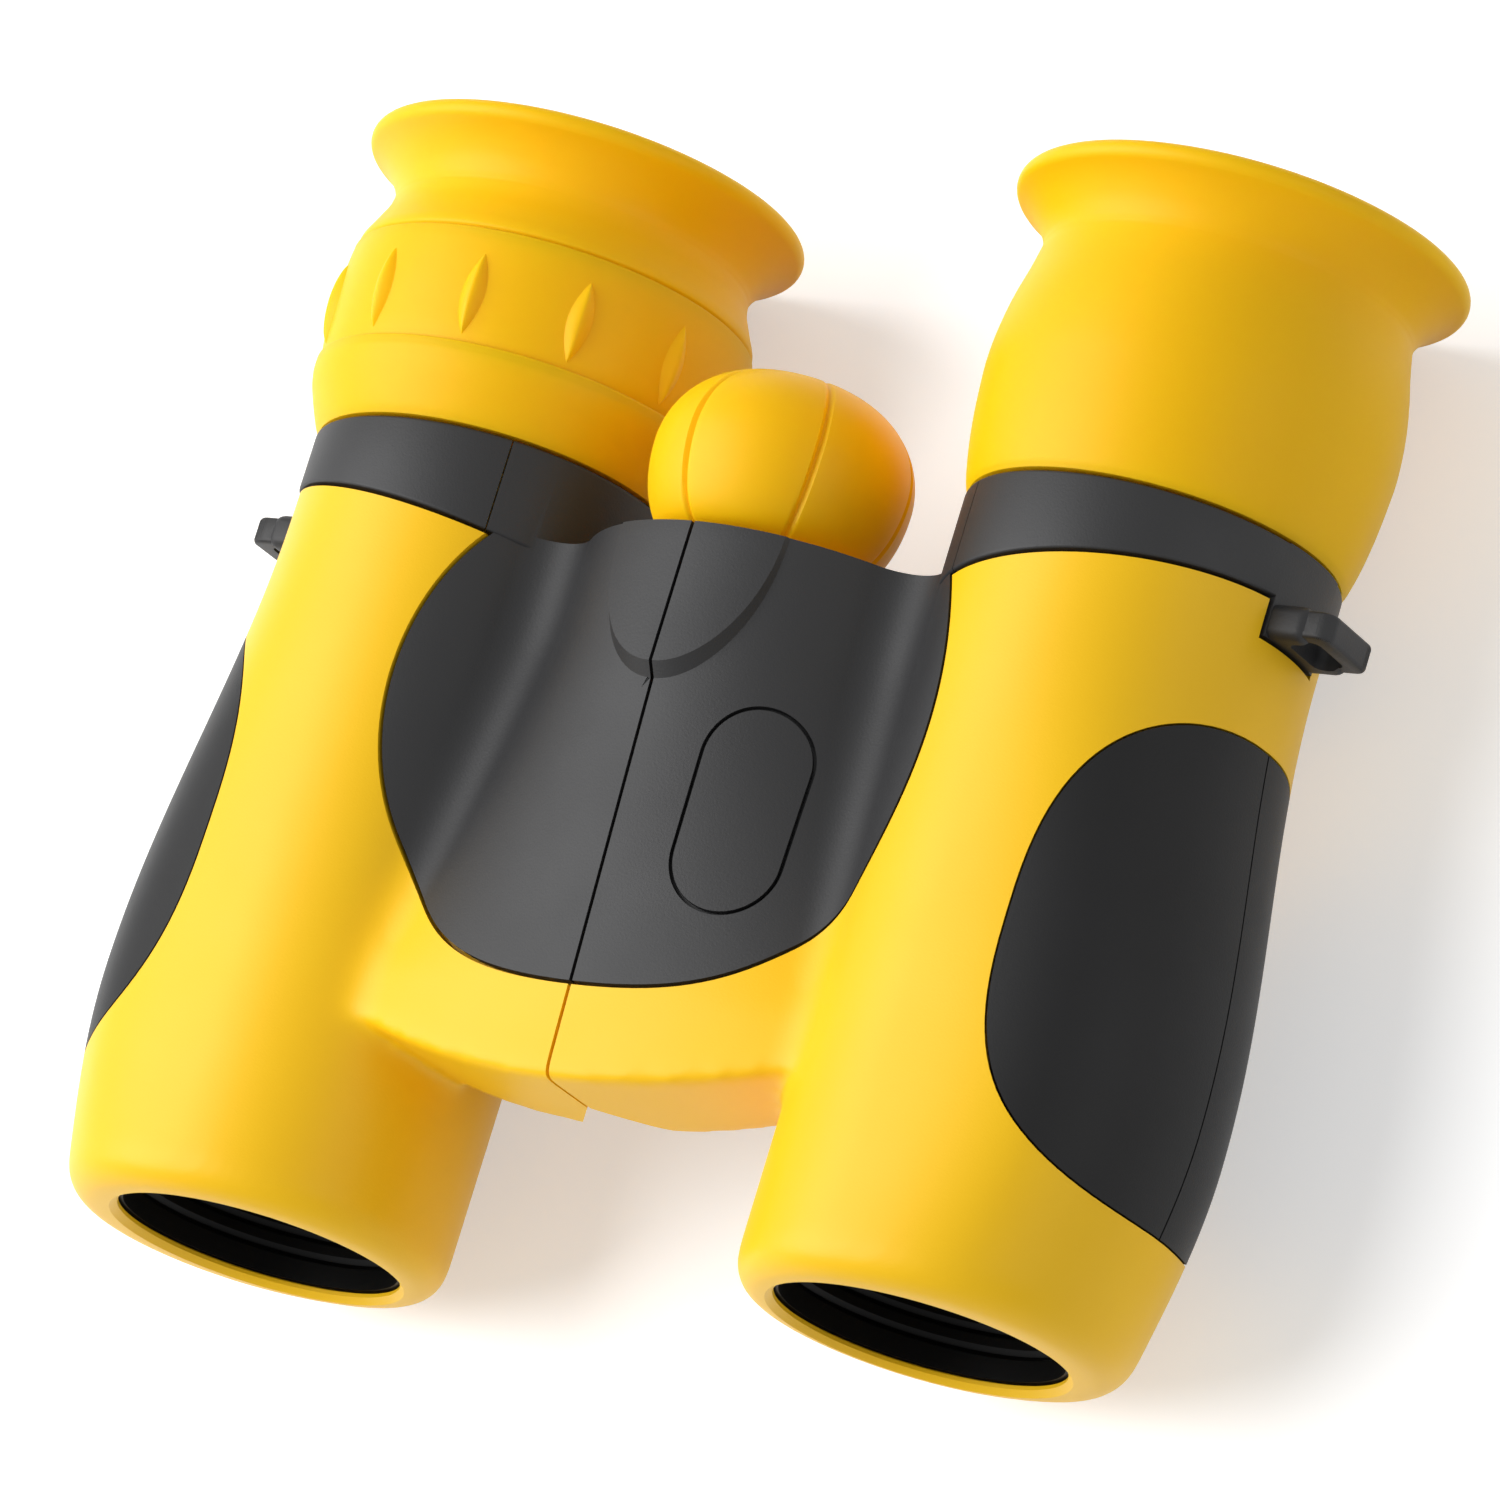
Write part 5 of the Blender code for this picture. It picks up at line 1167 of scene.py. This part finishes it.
def diopter_rib():
    """A pointed rib, longer than it is wide, that stands on the diopter ring at the top of the barrel."""
    eyepiece = settings().eyepiece
    choose(None)
    bpy.ops.mesh.primitive_grid_add(x_subdivisions=16, y_subdivisions=40, size=2.0)
    rib = bpy.context.object
    middle_station = DIOPTER_FRONT + eyepiece.rib_setback
    line = ring_line()
    sunk = 0.0001
    for vertex in rib.data.vertices:
        across, along = vertex.co.x, vertex.co.y
        taper = 1.0 - along * along
        crest = eyepiece.rib_height * taper ** 0.6 * (1.0 - abs(across) ** 1.5)
        station = middle_station - along * eyepiece.rib_length / 2
        aside = across * (taper + 0.02) * eyepiece.rib_width / 2
        rise = math.sqrt((radius_at(line, station) - sunk + crest) ** 2 - aside * aside)
        vertex.co = (AXIS_X + aside, back(station), AXIS_Z + rise)
    edit_all(rib)
    bpy.ops.mesh.extrude_region_move(TRANSFORM_OT_translate={"value": (0.0, 0.0, -eyepiece.rib_height)})
    outward()
    return rib


def diopter_ring():
    """The turning ring, with rounded shoulders and pointed ribs."""
    eyepiece = settings().eyepiece
    bore = TUBE_RADIUS + RUN_GAP
    under = eyepiece.right_belly - RING_LIP_UNDER
    step = DIOPTER_REAR - eyepiece.lip
    inside = [(DIOPTER_REAR, under), (step, under), (step, bore), (DIOPTER_FRONT - eyepiece.lip, bore)]
    ring = spun(ring_line() + inside, steps=SHELL_STEPS)
    pattern = diopter_rib()
    for i in range(eyepiece.rib_count):
        rib = pattern.copy()
        rib.data = pattern.data.copy()
        bpy.context.collection.objects.link(rib)
        edit_all(rib)
        turn = math.tau * (i + 0.5) / eyepiece.rib_count
        bpy.ops.transform.rotate(value=turn, orient_axis="Y", center_override=(AXIS_X, 0.0, AXIS_Z))
        bpy.ops.object.mode_set(mode="OBJECT")
        join(ring, rib)
    bpy.data.objects.remove(pattern, do_unlink=True)
    return ring


def lens(node, radius, bulge):
    """A lens with both faces curved, in its node's place."""
    front, rear = span(node)
    shares = spread(0.0, 1.0, 12)
    ahead = [(front + bulge * share ** 2, radius * share) for share in shares]
    behind = [(rear - bulge * share ** 2, radius * share) for share in reversed(shares)]
    return spun(ahead + behind)


# Focus wheel


def wheel_piece():
    """A rounded drum with a domed rear, finger grooves along it and a socket for the focus screw."""
    wheel = settings().wheel
    half = (WHEEL_REAR - WHEEL_FRONT) / 2
    centre = (WHEEL_REAR + WHEEL_FRONT) / 2
    outline = []
    for along, out in arc((0.0, 0.0), 1.0, math.pi, 0.0, WHEEL_STEPS):
        end = wheel.front_radius if along < 0 else wheel.rear_radius
        outline.append((centre + half * along, end + (wheel.radius - end) * out))
    outline = [(WHEEL_FRONT, 0.0)] + outline + [(WHEEL_REAR, 0.0)]
    drum = spun(outline, 0.0, HINGE_Z, WHEEL_STEPS * wheel.groove_count)
    for vertex in drum.data.vertices:
        aside = Vector((vertex.co.x, vertex.co.z - HINGE_Z))
        if aside.length < wheel.rear_radius:
            continue
        turn = (math.atan2(aside.x, aside.y) - wheel.groove_turn) * wheel.groove_count / math.tau
        off = abs(turn - round(turn)) * math.tau / wheel.groove_count * aside.length
        deep = wheel.groove_depth * max(0.0, 1.0 - 2 * off / wheel.groove_width)
        end = min(1.0, (aside.length - wheel.rear_radius) / GROOVE_FADE)
        vertex.co.x -= aside.x / aside.length * deep * end
        vertex.co.z -= aside.y / aside.length * deep * end
    screw = round_size("focus_screw") + RUN_GAP
    return cut(drum, hinge_rod(WHEEL_FRONT - CUT_MARGIN, span("focus_screw")[1] + RUN_GAP, screw))


# Finishes


def add_node(tree, kind, **values):
    """Adds a node and sets its properties and its unlinked sockets."""
    node = tree.nodes.new(kind)
    for name, value in values.items():
        if name in node.inputs:
            node.inputs[name].default_value = value
        else:
            setattr(node, name, value)
    return node


def wire(tree, *links):
    """Links sockets, each as (node, output, node, input)."""
    for source, output, target, socket in links:
        tree.links.new(source.outputs[output], target.inputs[socket])


def new_group(name, inputs, outputs):
    """A shader node group with named sockets, each (name, type, default)."""
    group = bpy.data.node_groups.new(name, "ShaderNodeTree")
    for label, kind, value in inputs:
        socket = group.interface.new_socket(name=label, in_out="INPUT", socket_type=kind)
        socket.default_value = value
    for label, kind in outputs:
        group.interface.new_socket(name=label, in_out="OUTPUT", socket_type=kind)
    return group, group.nodes.new("NodeGroupInput"), group.nodes.new("NodeGroupOutput")


def grain_group():
    """Fine moulded grain: a height for bump, and a roughness that changes a little with it."""
    group, given, put = new_group(
        "moulded_grain",
        [("Grain Scale", "NodeSocketFloat", 5200.0), ("Roughness", "NodeSocketFloat", 0.45),
         ("Roughness Drift", "NodeSocketFloat", 0.08)],
        [("Height", "NodeSocketFloat"), ("Roughness", "NodeSocketFloat")],
    )
    place = group.nodes.new("ShaderNodeTexCoord")
    grain = add_node(group, "ShaderNodeTexNoise", Detail=3.0, Roughness=0.6)
    cloud = add_node(group, "ShaderNodeTexNoise", Scale=160.0, Detail=2.0)
    centred = add_node(group, "ShaderNodeMath", operation="SUBTRACT")
    centred.inputs[1].default_value = 0.5
    drift = add_node(group, "ShaderNodeMath", operation="MULTIPLY_ADD")
    wire(
        group,
        (place, "Object", grain, "Vector"), (place, "Object", cloud, "Vector"),
        (given, "Grain Scale", grain, "Scale"), (cloud, "Fac", centred, 0), (centred, 0, drift, 0),
        (given, "Roughness Drift", drift, 1), (given, "Roughness", drift, 2),
        (grain, "Fac", put, "Height"), (drift, 0, put, "Roughness"),
    )


def drift_group():
    """A colour that drifts softly between two shades over the surface."""
    group, given, put = new_group(
        "colour_drift",
        [("Shade", "NodeSocketColor", WHITE), ("Other Shade", "NodeSocketColor", WHITE),
         ("Drift Scale", "NodeSocketFloat", 60.0)],
        [("Colour", "NodeSocketColor")],
    )
    place = group.nodes.new("ShaderNodeTexCoord")
    cloud = add_node(group, "ShaderNodeTexNoise", Detail=4.0, Roughness=0.55)
    mix = add_node(group, "ShaderNodeMix", data_type="RGBA")
    wire(
        group,
        (place, "Object", cloud, "Vector"), (given, "Drift Scale", cloud, "Scale"),
        (cloud, "Fac", mix, "Factor"), (given, "Shade", mix, "A"), (given, "Other Shade", mix, "B"),
        (mix, "Result", put, "Colour"),
    )


def shine(level):
    return {"Specular IOR Level": level}


def finish(slot, shade, other, roughness, grain_scale, bump, sockets):
    """The material of a slot, with drifting colour and fine grain. The sockets are set on its shader."""
    material = bpy.data.materials.new(f"{slot}_look")
    material.use_nodes = True
    tree = material.node_tree
    shader = tree.nodes["Principled BSDF"]
    for socket, value in sockets.items():
        shader.inputs[socket].default_value = value
    drift = add_node(tree, "ShaderNodeGroup", node_tree=bpy.data.node_groups["colour_drift"])
    drift.inputs["Shade"].default_value = (*shade, 1.0)
    drift.inputs["Other Shade"].default_value = (*other, 1.0)
    grain = add_node(tree, "ShaderNodeGroup", node_tree=bpy.data.node_groups["moulded_grain"])
    grain.inputs["Grain Scale"].default_value = grain_scale
    grain.inputs["Roughness"].default_value = roughness
    relief = add_node(tree, "ShaderNodeBump", Strength=bump, Distance=0.0001)
    wire(
        tree,
        (drift, "Colour", shader, "Base Color"), (grain, "Roughness", shader, "Roughness"),
        (grain, "Height", relief, "Height"), (relief, "Normal", shader, "Normal"),
    )
    material.diffuse_color = (*shade, 1.0)


class BINOCULARS_OT_finishes(bpy.types.Operator):
    """Makes the finishes: plastics, rubbers, glass and metals."""

    bl_idname = "binoculars.finishes"
    bl_label = "Finishes"

    def execute(self, context):
        tint = settings().finish
        grain_group()
        drift_group()
        soft = {"Subsurface Weight": 0.45, "Subsurface Scale": 0.002, "Subsurface Radius": (1.0, 0.90, 0.10)}
        glass = {"Transmission Weight": 1.0, "IOR": 1.52}
        # slot, shade, other shade, roughness, grain scale, bump and the shader's other sockets
        for row in (
            ("yellow_plastic", tint.yellow_plastic, tint.yellow_deep, 0.42, 5200.0, 0.10, shine(0.28)),
            ("yellow_rubber", tint.yellow_rubber, tint.rubber_deep, 0.46, 7000.0, 0.05, shine(0.18) | soft),
            ("black_plastic", tint.black_plastic, tint.black_worn, 0.50, 5200.0, 0.20, shine(0.36)),
            ("black_rubber", tint.black_rubber, tint.black_plastic, 0.48, 6200.0, 0.16, shine(0.20)),
            ("inner_black", tint.inner_black, tint.inner_black, 0.42, 4000.0, 0.05, shine(0.10)),
            ("optical_glass", tint.glass, tint.glass, 0.03, 900.0, 0.0, glass),
            ("steel", tint.steel, tint.nylon, 0.30, 3000.0, 0.06, {"Metallic": 1.0}),
            ("brass", tint.brass, tint.steel, 0.32, 3000.0, 0.06, {"Metallic": 1.0}),
            ("nylon", tint.nylon, tint.glass, 0.50, 4000.0, 0.05, {}),
        ):
            finish(*row)
        for part in frame["record"]["subparts"]:
            mesh = frame["nodes"][part["node"]].data
            mesh.materials.clear()
            mesh.materials.append(look(part["material_slot"]))
        return {"FINISHED"}


class BINOCULARS_OT_shells(bpy.types.Operator):
    """Models the two barrel shells with their halves of the bridge."""

    bl_idname = "binoculars.shells"
    bl_label = "Barrel shells"

    def execute(self, context):
        pair = barrel_shell("right"), barrel_shell("left")
        seat_pair(pair, "shell", "barrel_shell", "yellow_plastic")
        return {"FINISHED"}


class BINOCULARS_OT_covers(bpy.types.Operator):
    """Models the dark top covers and the bare badge."""

    bl_idname = "binoculars.covers"
    bl_label = "Top covers"

    def execute(self, context):
        pair = cover_piece("right"), cover_piece("left")
        seat_pair(pair, "cover", "top_cover", "black_plastic", COVER_SHARP)
        seat_piece(mirrored(badge_piece()), "badge_plate", "left_half", ["badge"], "black_plastic")
        return {"FINISHED"}


class BINOCULARS_OT_collars(bpy.types.Operator):
    """Models the collar bands with their strap lugs."""

    bl_idname = "binoculars.collars"
    bl_label = "Collars"

    def execute(self, context):
        seat_pair((collar_piece(), collar_piece()), "collar", "strap_collar", "black_plastic")
        return {"FINISHED"}


class BINOCULARS_OT_grips(bpy.types.Operator):
    """Models the oval side grips."""

    bl_idname = "binoculars.grips"
    bl_label = "Side grips"

    def execute(self, context):
        seat_pair((grip_piece(), grip_piece()), "grip", "side_grip", "black_rubber")
        return {"FINISHED"}


class BINOCULARS_OT_eyepieces(bpy.types.Operator):
    """Models the eyecups, the diopter ring, the eyepiece tubes and the eye lenses."""

    bl_idname = "binoculars.eyepieces"
    bl_label = "Eyepieces"

    def execute(self, context):
        seat_piece(mirrored(left_eyecup()), "eyecup_left", "left_half", ["left_eyecup"], "yellow_rubber")
        seat_piece(right_eyecup(), "eyecup_right", "diopter", ["right_eyecup"], "yellow_rubber")
        seat_piece(diopter_ring(), "diopter_grip", "diopter", ["diopter_ring"], "yellow_rubber")
        seat_piece(eyepiece_base(), "eyepiece_foot", "right_half", ["right_eyepiece_base"], "yellow_rubber")
        bore = EYE_LENS_RADIUS + RUN_GAP
        fixed = spun([
            (PLUG_FRONT, CELL_RADIUS), (EYEPIECE_FRONT, CELL_RADIUS), (EYEPIECE_FRONT, TUBE_RADIUS),
            (TUBE_REAR, TUBE_RADIUS), (TUBE_REAR, bore), (PLUG_FRONT, bore),
        ])
        seat_piece(mirrored(fixed), "tube_left", "left_half", ["left_eyepiece_tube"], "inner_black")
        sliding = tube(*span("right_ocular_tube"), OCULAR_RADIUS, bore)
        seat_piece(sliding, "tube_right", "right_ocular", ["right_ocular_tube"], "inner_black")
        left = mirrored(lens("left_eye_lens", EYE_LENS_RADIUS, EYE_BULGE))
        seat_piece(left, "eye_glass_left", "left_half", ["left_eye_lens"], "optical_glass")
        right = lens("right_eye_lens", EYE_LENS_RADIUS, EYE_BULGE)
        seat_piece(right, "eye_glass_right", "right_ocular", ["right_eye_lens"], "optical_glass")
        return {"FINISHED"}


class BINOCULARS_OT_focus_wheel(bpy.types.Operator):
    """Models the focus wheel and its washer."""

    bl_idname = "binoculars.focus_wheel"
    bl_label = "Focus wheel"

    def execute(self, context):
        seat_piece(wheel_piece(), "wheel_drum", "focus_drive", ["focus_wheel"], "yellow_rubber")
        hole = round_size("focus_screw") + RUN_GAP
        washer = tube(*span("focus_washer"), round_size("focus_washer"), hole, 0.0, HINGE_Z, ROD_STEPS)
        seat_piece(washer, "wheel_washer", "left_half", ["focus_washer"], "nylon")
        return {"FINISHED"}


class BINOCULARS_OT_objectives(bpy.types.Operator):
    """Models what shows through the front openings: liners, lenses and the cells that hold them."""

    bl_idname = "binoculars.objectives"
    bl_label = "Objectives"

    def execute(self, context):
        for side in ("right", "left"):
            half, slide = f"{side}_half", f"{side}_focus_slide"
            for piece, name, body, node, slot in (
                (self.liner(), "liner", half, "front_liner", "inner_black"),
                (self.cell(side), "cell", slide, "objective_cell", "inner_black"),
                (lens("right_objective_lens", LENS_RADIUS, OBJECTIVE_BULGE), "front_glass", slide,
                 "objective_lens", "optical_glass"),
            ):
                if side == "left":
                    mirrored(piece)
                seat_piece(piece, f"{name}_{side}", body, [f"{side}_{node}"], slot)
        return {"FINISHED"}

    def liner(self):
        """A dark ring with two fine grooves inside, close behind the lip of the shell."""
        front = settings().shell.lip_depth + RUN_GAP
        inner = CELL_RADIUS - 0.0008
        deep = 0.0003
        wide = 0.0004
        outline = [(front, CELL_RADIUS), (LINER_REAR, CELL_RADIUS), (LINER_REAR, inner)]
        for share in (0.70, 0.40):
            place = front + share * (LINER_REAR - front)
            outline += [(place + wide, inner), (place, inner + deep), (place - wide, inner)]
        return spun(outline + [(front, inner)])

    def cell(self, side):
        """The sliding tube that holds an objective, with a hole for its focus arm."""
        bore = LENS_RADIUS + SEAT_GAP
        lip = LENS_RADIUS - 0.0005
        bevel = 0.0004
        depth = 0.0007
        outline = [
            (CELL_FRONT, CELL_RADIUS), (CELL_REAR, CELL_RADIUS), (CELL_REAR, bore),
            (CELL_FRONT + depth, bore), (CELL_FRONT + depth, lip), (CELL_FRONT, lip + bevel),
        ]
        front, rear = span(f"{side}_focus_arm")
        return cut(spun(outline), arm_block(front - SEAT_GAP, rear + SEAT_GAP))


class BINOCULARS_OT_cover_screws(bpy.types.Operator):
    """Models the screws that hold the covers from below, with cross recesses."""

    bl_idname = "binoculars.cover_screws"
    bl_label = "Cover screws"

    def execute(self, context):
        seat_pair((self.screw(), self.screw()), "screw", "cover_screw", "steel")
        return {"FINISHED"}

    def screw(self):
        low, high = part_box("right_cover_screw")
        centre = (low + high) / 2
        station = FRONT_Y - centre.y
        head = (high.x - low.x) / 2
        bottom = low.z - AXIS_Z
        thickness = 0.0008
        edge = 0.00012
        recess_depth = 0.0005
        long, short = head * 0.62, head * 0.16
        piece = pillar(centre.x, station, bottom, bottom + thickness, head)
        edit_all(piece)
        bpy.ops.mesh.bevel(offset=edge, segments=3, affect="EDGES")
        outward()
        top = high.z - AXIS_Z
        join(piece, pillar(centre.x, station, bottom + thickness / 2, top, SCREW_SHANK_RADIUS))
        for across, along in ((long, short), (short, long)):
            recess = box(
                (centre.x - across, station - along, low.z - CUT_MARGIN),
                (centre.x + across, station + along, low.z + recess_depth),
            )
            cut(piece, recess)
        return piece


class BINOCULARS_OT_stage(bpy.types.Operator):
    """Sets up the floor, the soft lights, the white surroundings and the camera."""

    bl_idname = "binoculars.stage"
    bl_label = "Stage"

    def execute(self, context):
        stage = settings().stage
        context.scene.view_settings.view_transform = "Standard"
        self.floor()
        self.world(context, stage.world)
        self.soft_light("key_light", Vector((0.60, 0.10, 0.78)), 0.9, 1.00, stage.key)
        self.soft_light("fill_light", Vector((-0.90, -0.10, 0.38)), 1.0, 0.60, stage.fill)
        self.camera(context, stage)
        return {"FINISHED"}

    def white_to_eye(self, tree, strength):
        """A strength that only the camera, reflections and glass see."""
        path = tree.nodes.new("ShaderNodeLightPath")
        seen = add_node(tree, "ShaderNodeMath", operation="MAXIMUM")
        any_seen = add_node(tree, "ShaderNodeMath", operation="MAXIMUM")
        scaled = add_node(tree, "ShaderNodeMath", operation="MULTIPLY")
        scaled.inputs[1].default_value = strength
        wire(
            tree,
            (path, "Is Camera Ray", seen, 0), (path, "Is Glossy Ray", seen, 1), (seen, 0, any_seen, 0),
            (path, "Is Transmission Ray", any_seen, 1), (any_seen, 0, scaled, 0),
        )
        return scaled

    def floor(self):
        choose(None)
        bpy.ops.mesh.primitive_plane_add(size=6.0)
        floor = bpy.context.object
        floor.name = "studio_floor"
        material = bpy.data.materials.new("studio_floor")
        material.use_nodes = True
        tree = material.node_tree
        shader = tree.nodes["Principled BSDF"]
        shader.inputs["Base Color"].default_value = (0.82, 0.82, 0.82, 1.0)
        shader.inputs["Roughness"].default_value = 0.9
        shader.inputs["Specular IOR Level"].default_value = 0.0
        shader.inputs["Emission Color"].default_value = WHITE
        glow = self.white_to_eye(tree, FLOOR_GLOW)
        wire(tree, (glow, 0, shader, "Emission Strength"))
        floor.data.materials.append(material)

    def world(self, context, strength):
        world = bpy.data.worlds.new("white_surroundings")
        context.scene.world = world
        world.use_nodes = True
        tree = world.node_tree
        background = tree.nodes["Background"]
        background.inputs["Color"].default_value = WHITE
        seen = self.white_to_eye(tree, 1.0 - strength)
        total = add_node(tree, "ShaderNodeMath", operation="ADD")
        total.inputs[1].default_value = strength
        wire(tree, (seen, 0, total, 0), (total, 0, background, "Strength"))

    def soft_light(self, name, direction, distance, size, power):
        lamp = bpy.data.lights.new(name, "AREA")
        lamp.shape = "DISK"
        lamp.size = size
        lamp.energy = power
        light = bpy.data.objects.new(name, lamp)
        bpy.context.scene.collection.objects.link(light)
        aim = Vector((0.0, 0.0, AXIS_Z))
        light.location = aim + direction.normalized() * distance
        light.rotation_euler = direction.to_track_quat("Z", "Y").to_euler()

    def camera(self, context, stage):
        lens_data = bpy.data.cameras.new("photo_camera")
        lens_data.lens = stage.lens
        lens_data.sensor_width = 36.0
        lens_data.clip_end = 10.0
        camera = bpy.data.objects.new("photo_camera", lens_data)
        context.scene.collection.objects.link(camera)
        flat = math.cos(stage.elevation)
        direction = Vector((
            flat * math.cos(stage.azimuth), flat * math.sin(stage.azimuth), math.sin(stage.elevation)
        ))
        right = Vector((0.0, 0.0, 1.0)).cross(direction).normalized()
        turned = Matrix.Rotation(stage.roll, 3, direction) @ right
        up = direction.cross(turned)
        pose = Matrix((turned, up, direction)).transposed().to_4x4()
        pose.translation = Vector(stage.target) + direction * stage.distance
        camera.matrix_world = pose
        context.scene.camera = camera


class BINOCULARS_PT_panel(bpy.types.Panel):
    """Lists the steps that model the binoculars."""

    bl_idname = "BINOCULARS_PT_panel"
    bl_label = "Folding binoculars"
    bl_space_type = "VIEW_3D"
    bl_region_type = "UI"
    bl_category = "Binoculars"

    def draw(self, context):
        for step in STEPS:
            self.layout.operator(step.bl_idname)


STEPS = (
    BINOCULARS_OT_finishes,
    BINOCULARS_OT_shells,
    BINOCULARS_OT_covers,
    BINOCULARS_OT_collars,
    BINOCULARS_OT_grips,
    BINOCULARS_OT_eyepieces,
    BINOCULARS_OT_focus_wheel,
    BINOCULARS_OT_objectives,
    BINOCULARS_OT_cover_screws,
    BINOCULARS_OT_stage,
)
GROUPS = (
    ShellSizes, CoverSizes, CollarSizes, GripSizes, EyepieceSizes, WheelSizes, FinishColours, StageSettings,
    BinocularsSettings,
)
CLASSES = GROUPS + STEPS + (BINOCULARS_PT_panel,)


def register():
    for item in CLASSES:
        bpy.utils.register_class(item)
    bpy.types.Scene.folding_binoculars = bpy.props.PointerProperty(type=BinocularsSettings)


def unregister():
    del bpy.types.Scene.folding_binoculars
    for item in reversed(CLASSES):
        bpy.utils.unregister_class(item)


def main():
    register()
    for step in STEPS:
        group, name = step.bl_idname.split(".")
        getattr(getattr(bpy.ops, group), name)()


if __name__ == "__main__":
    main()
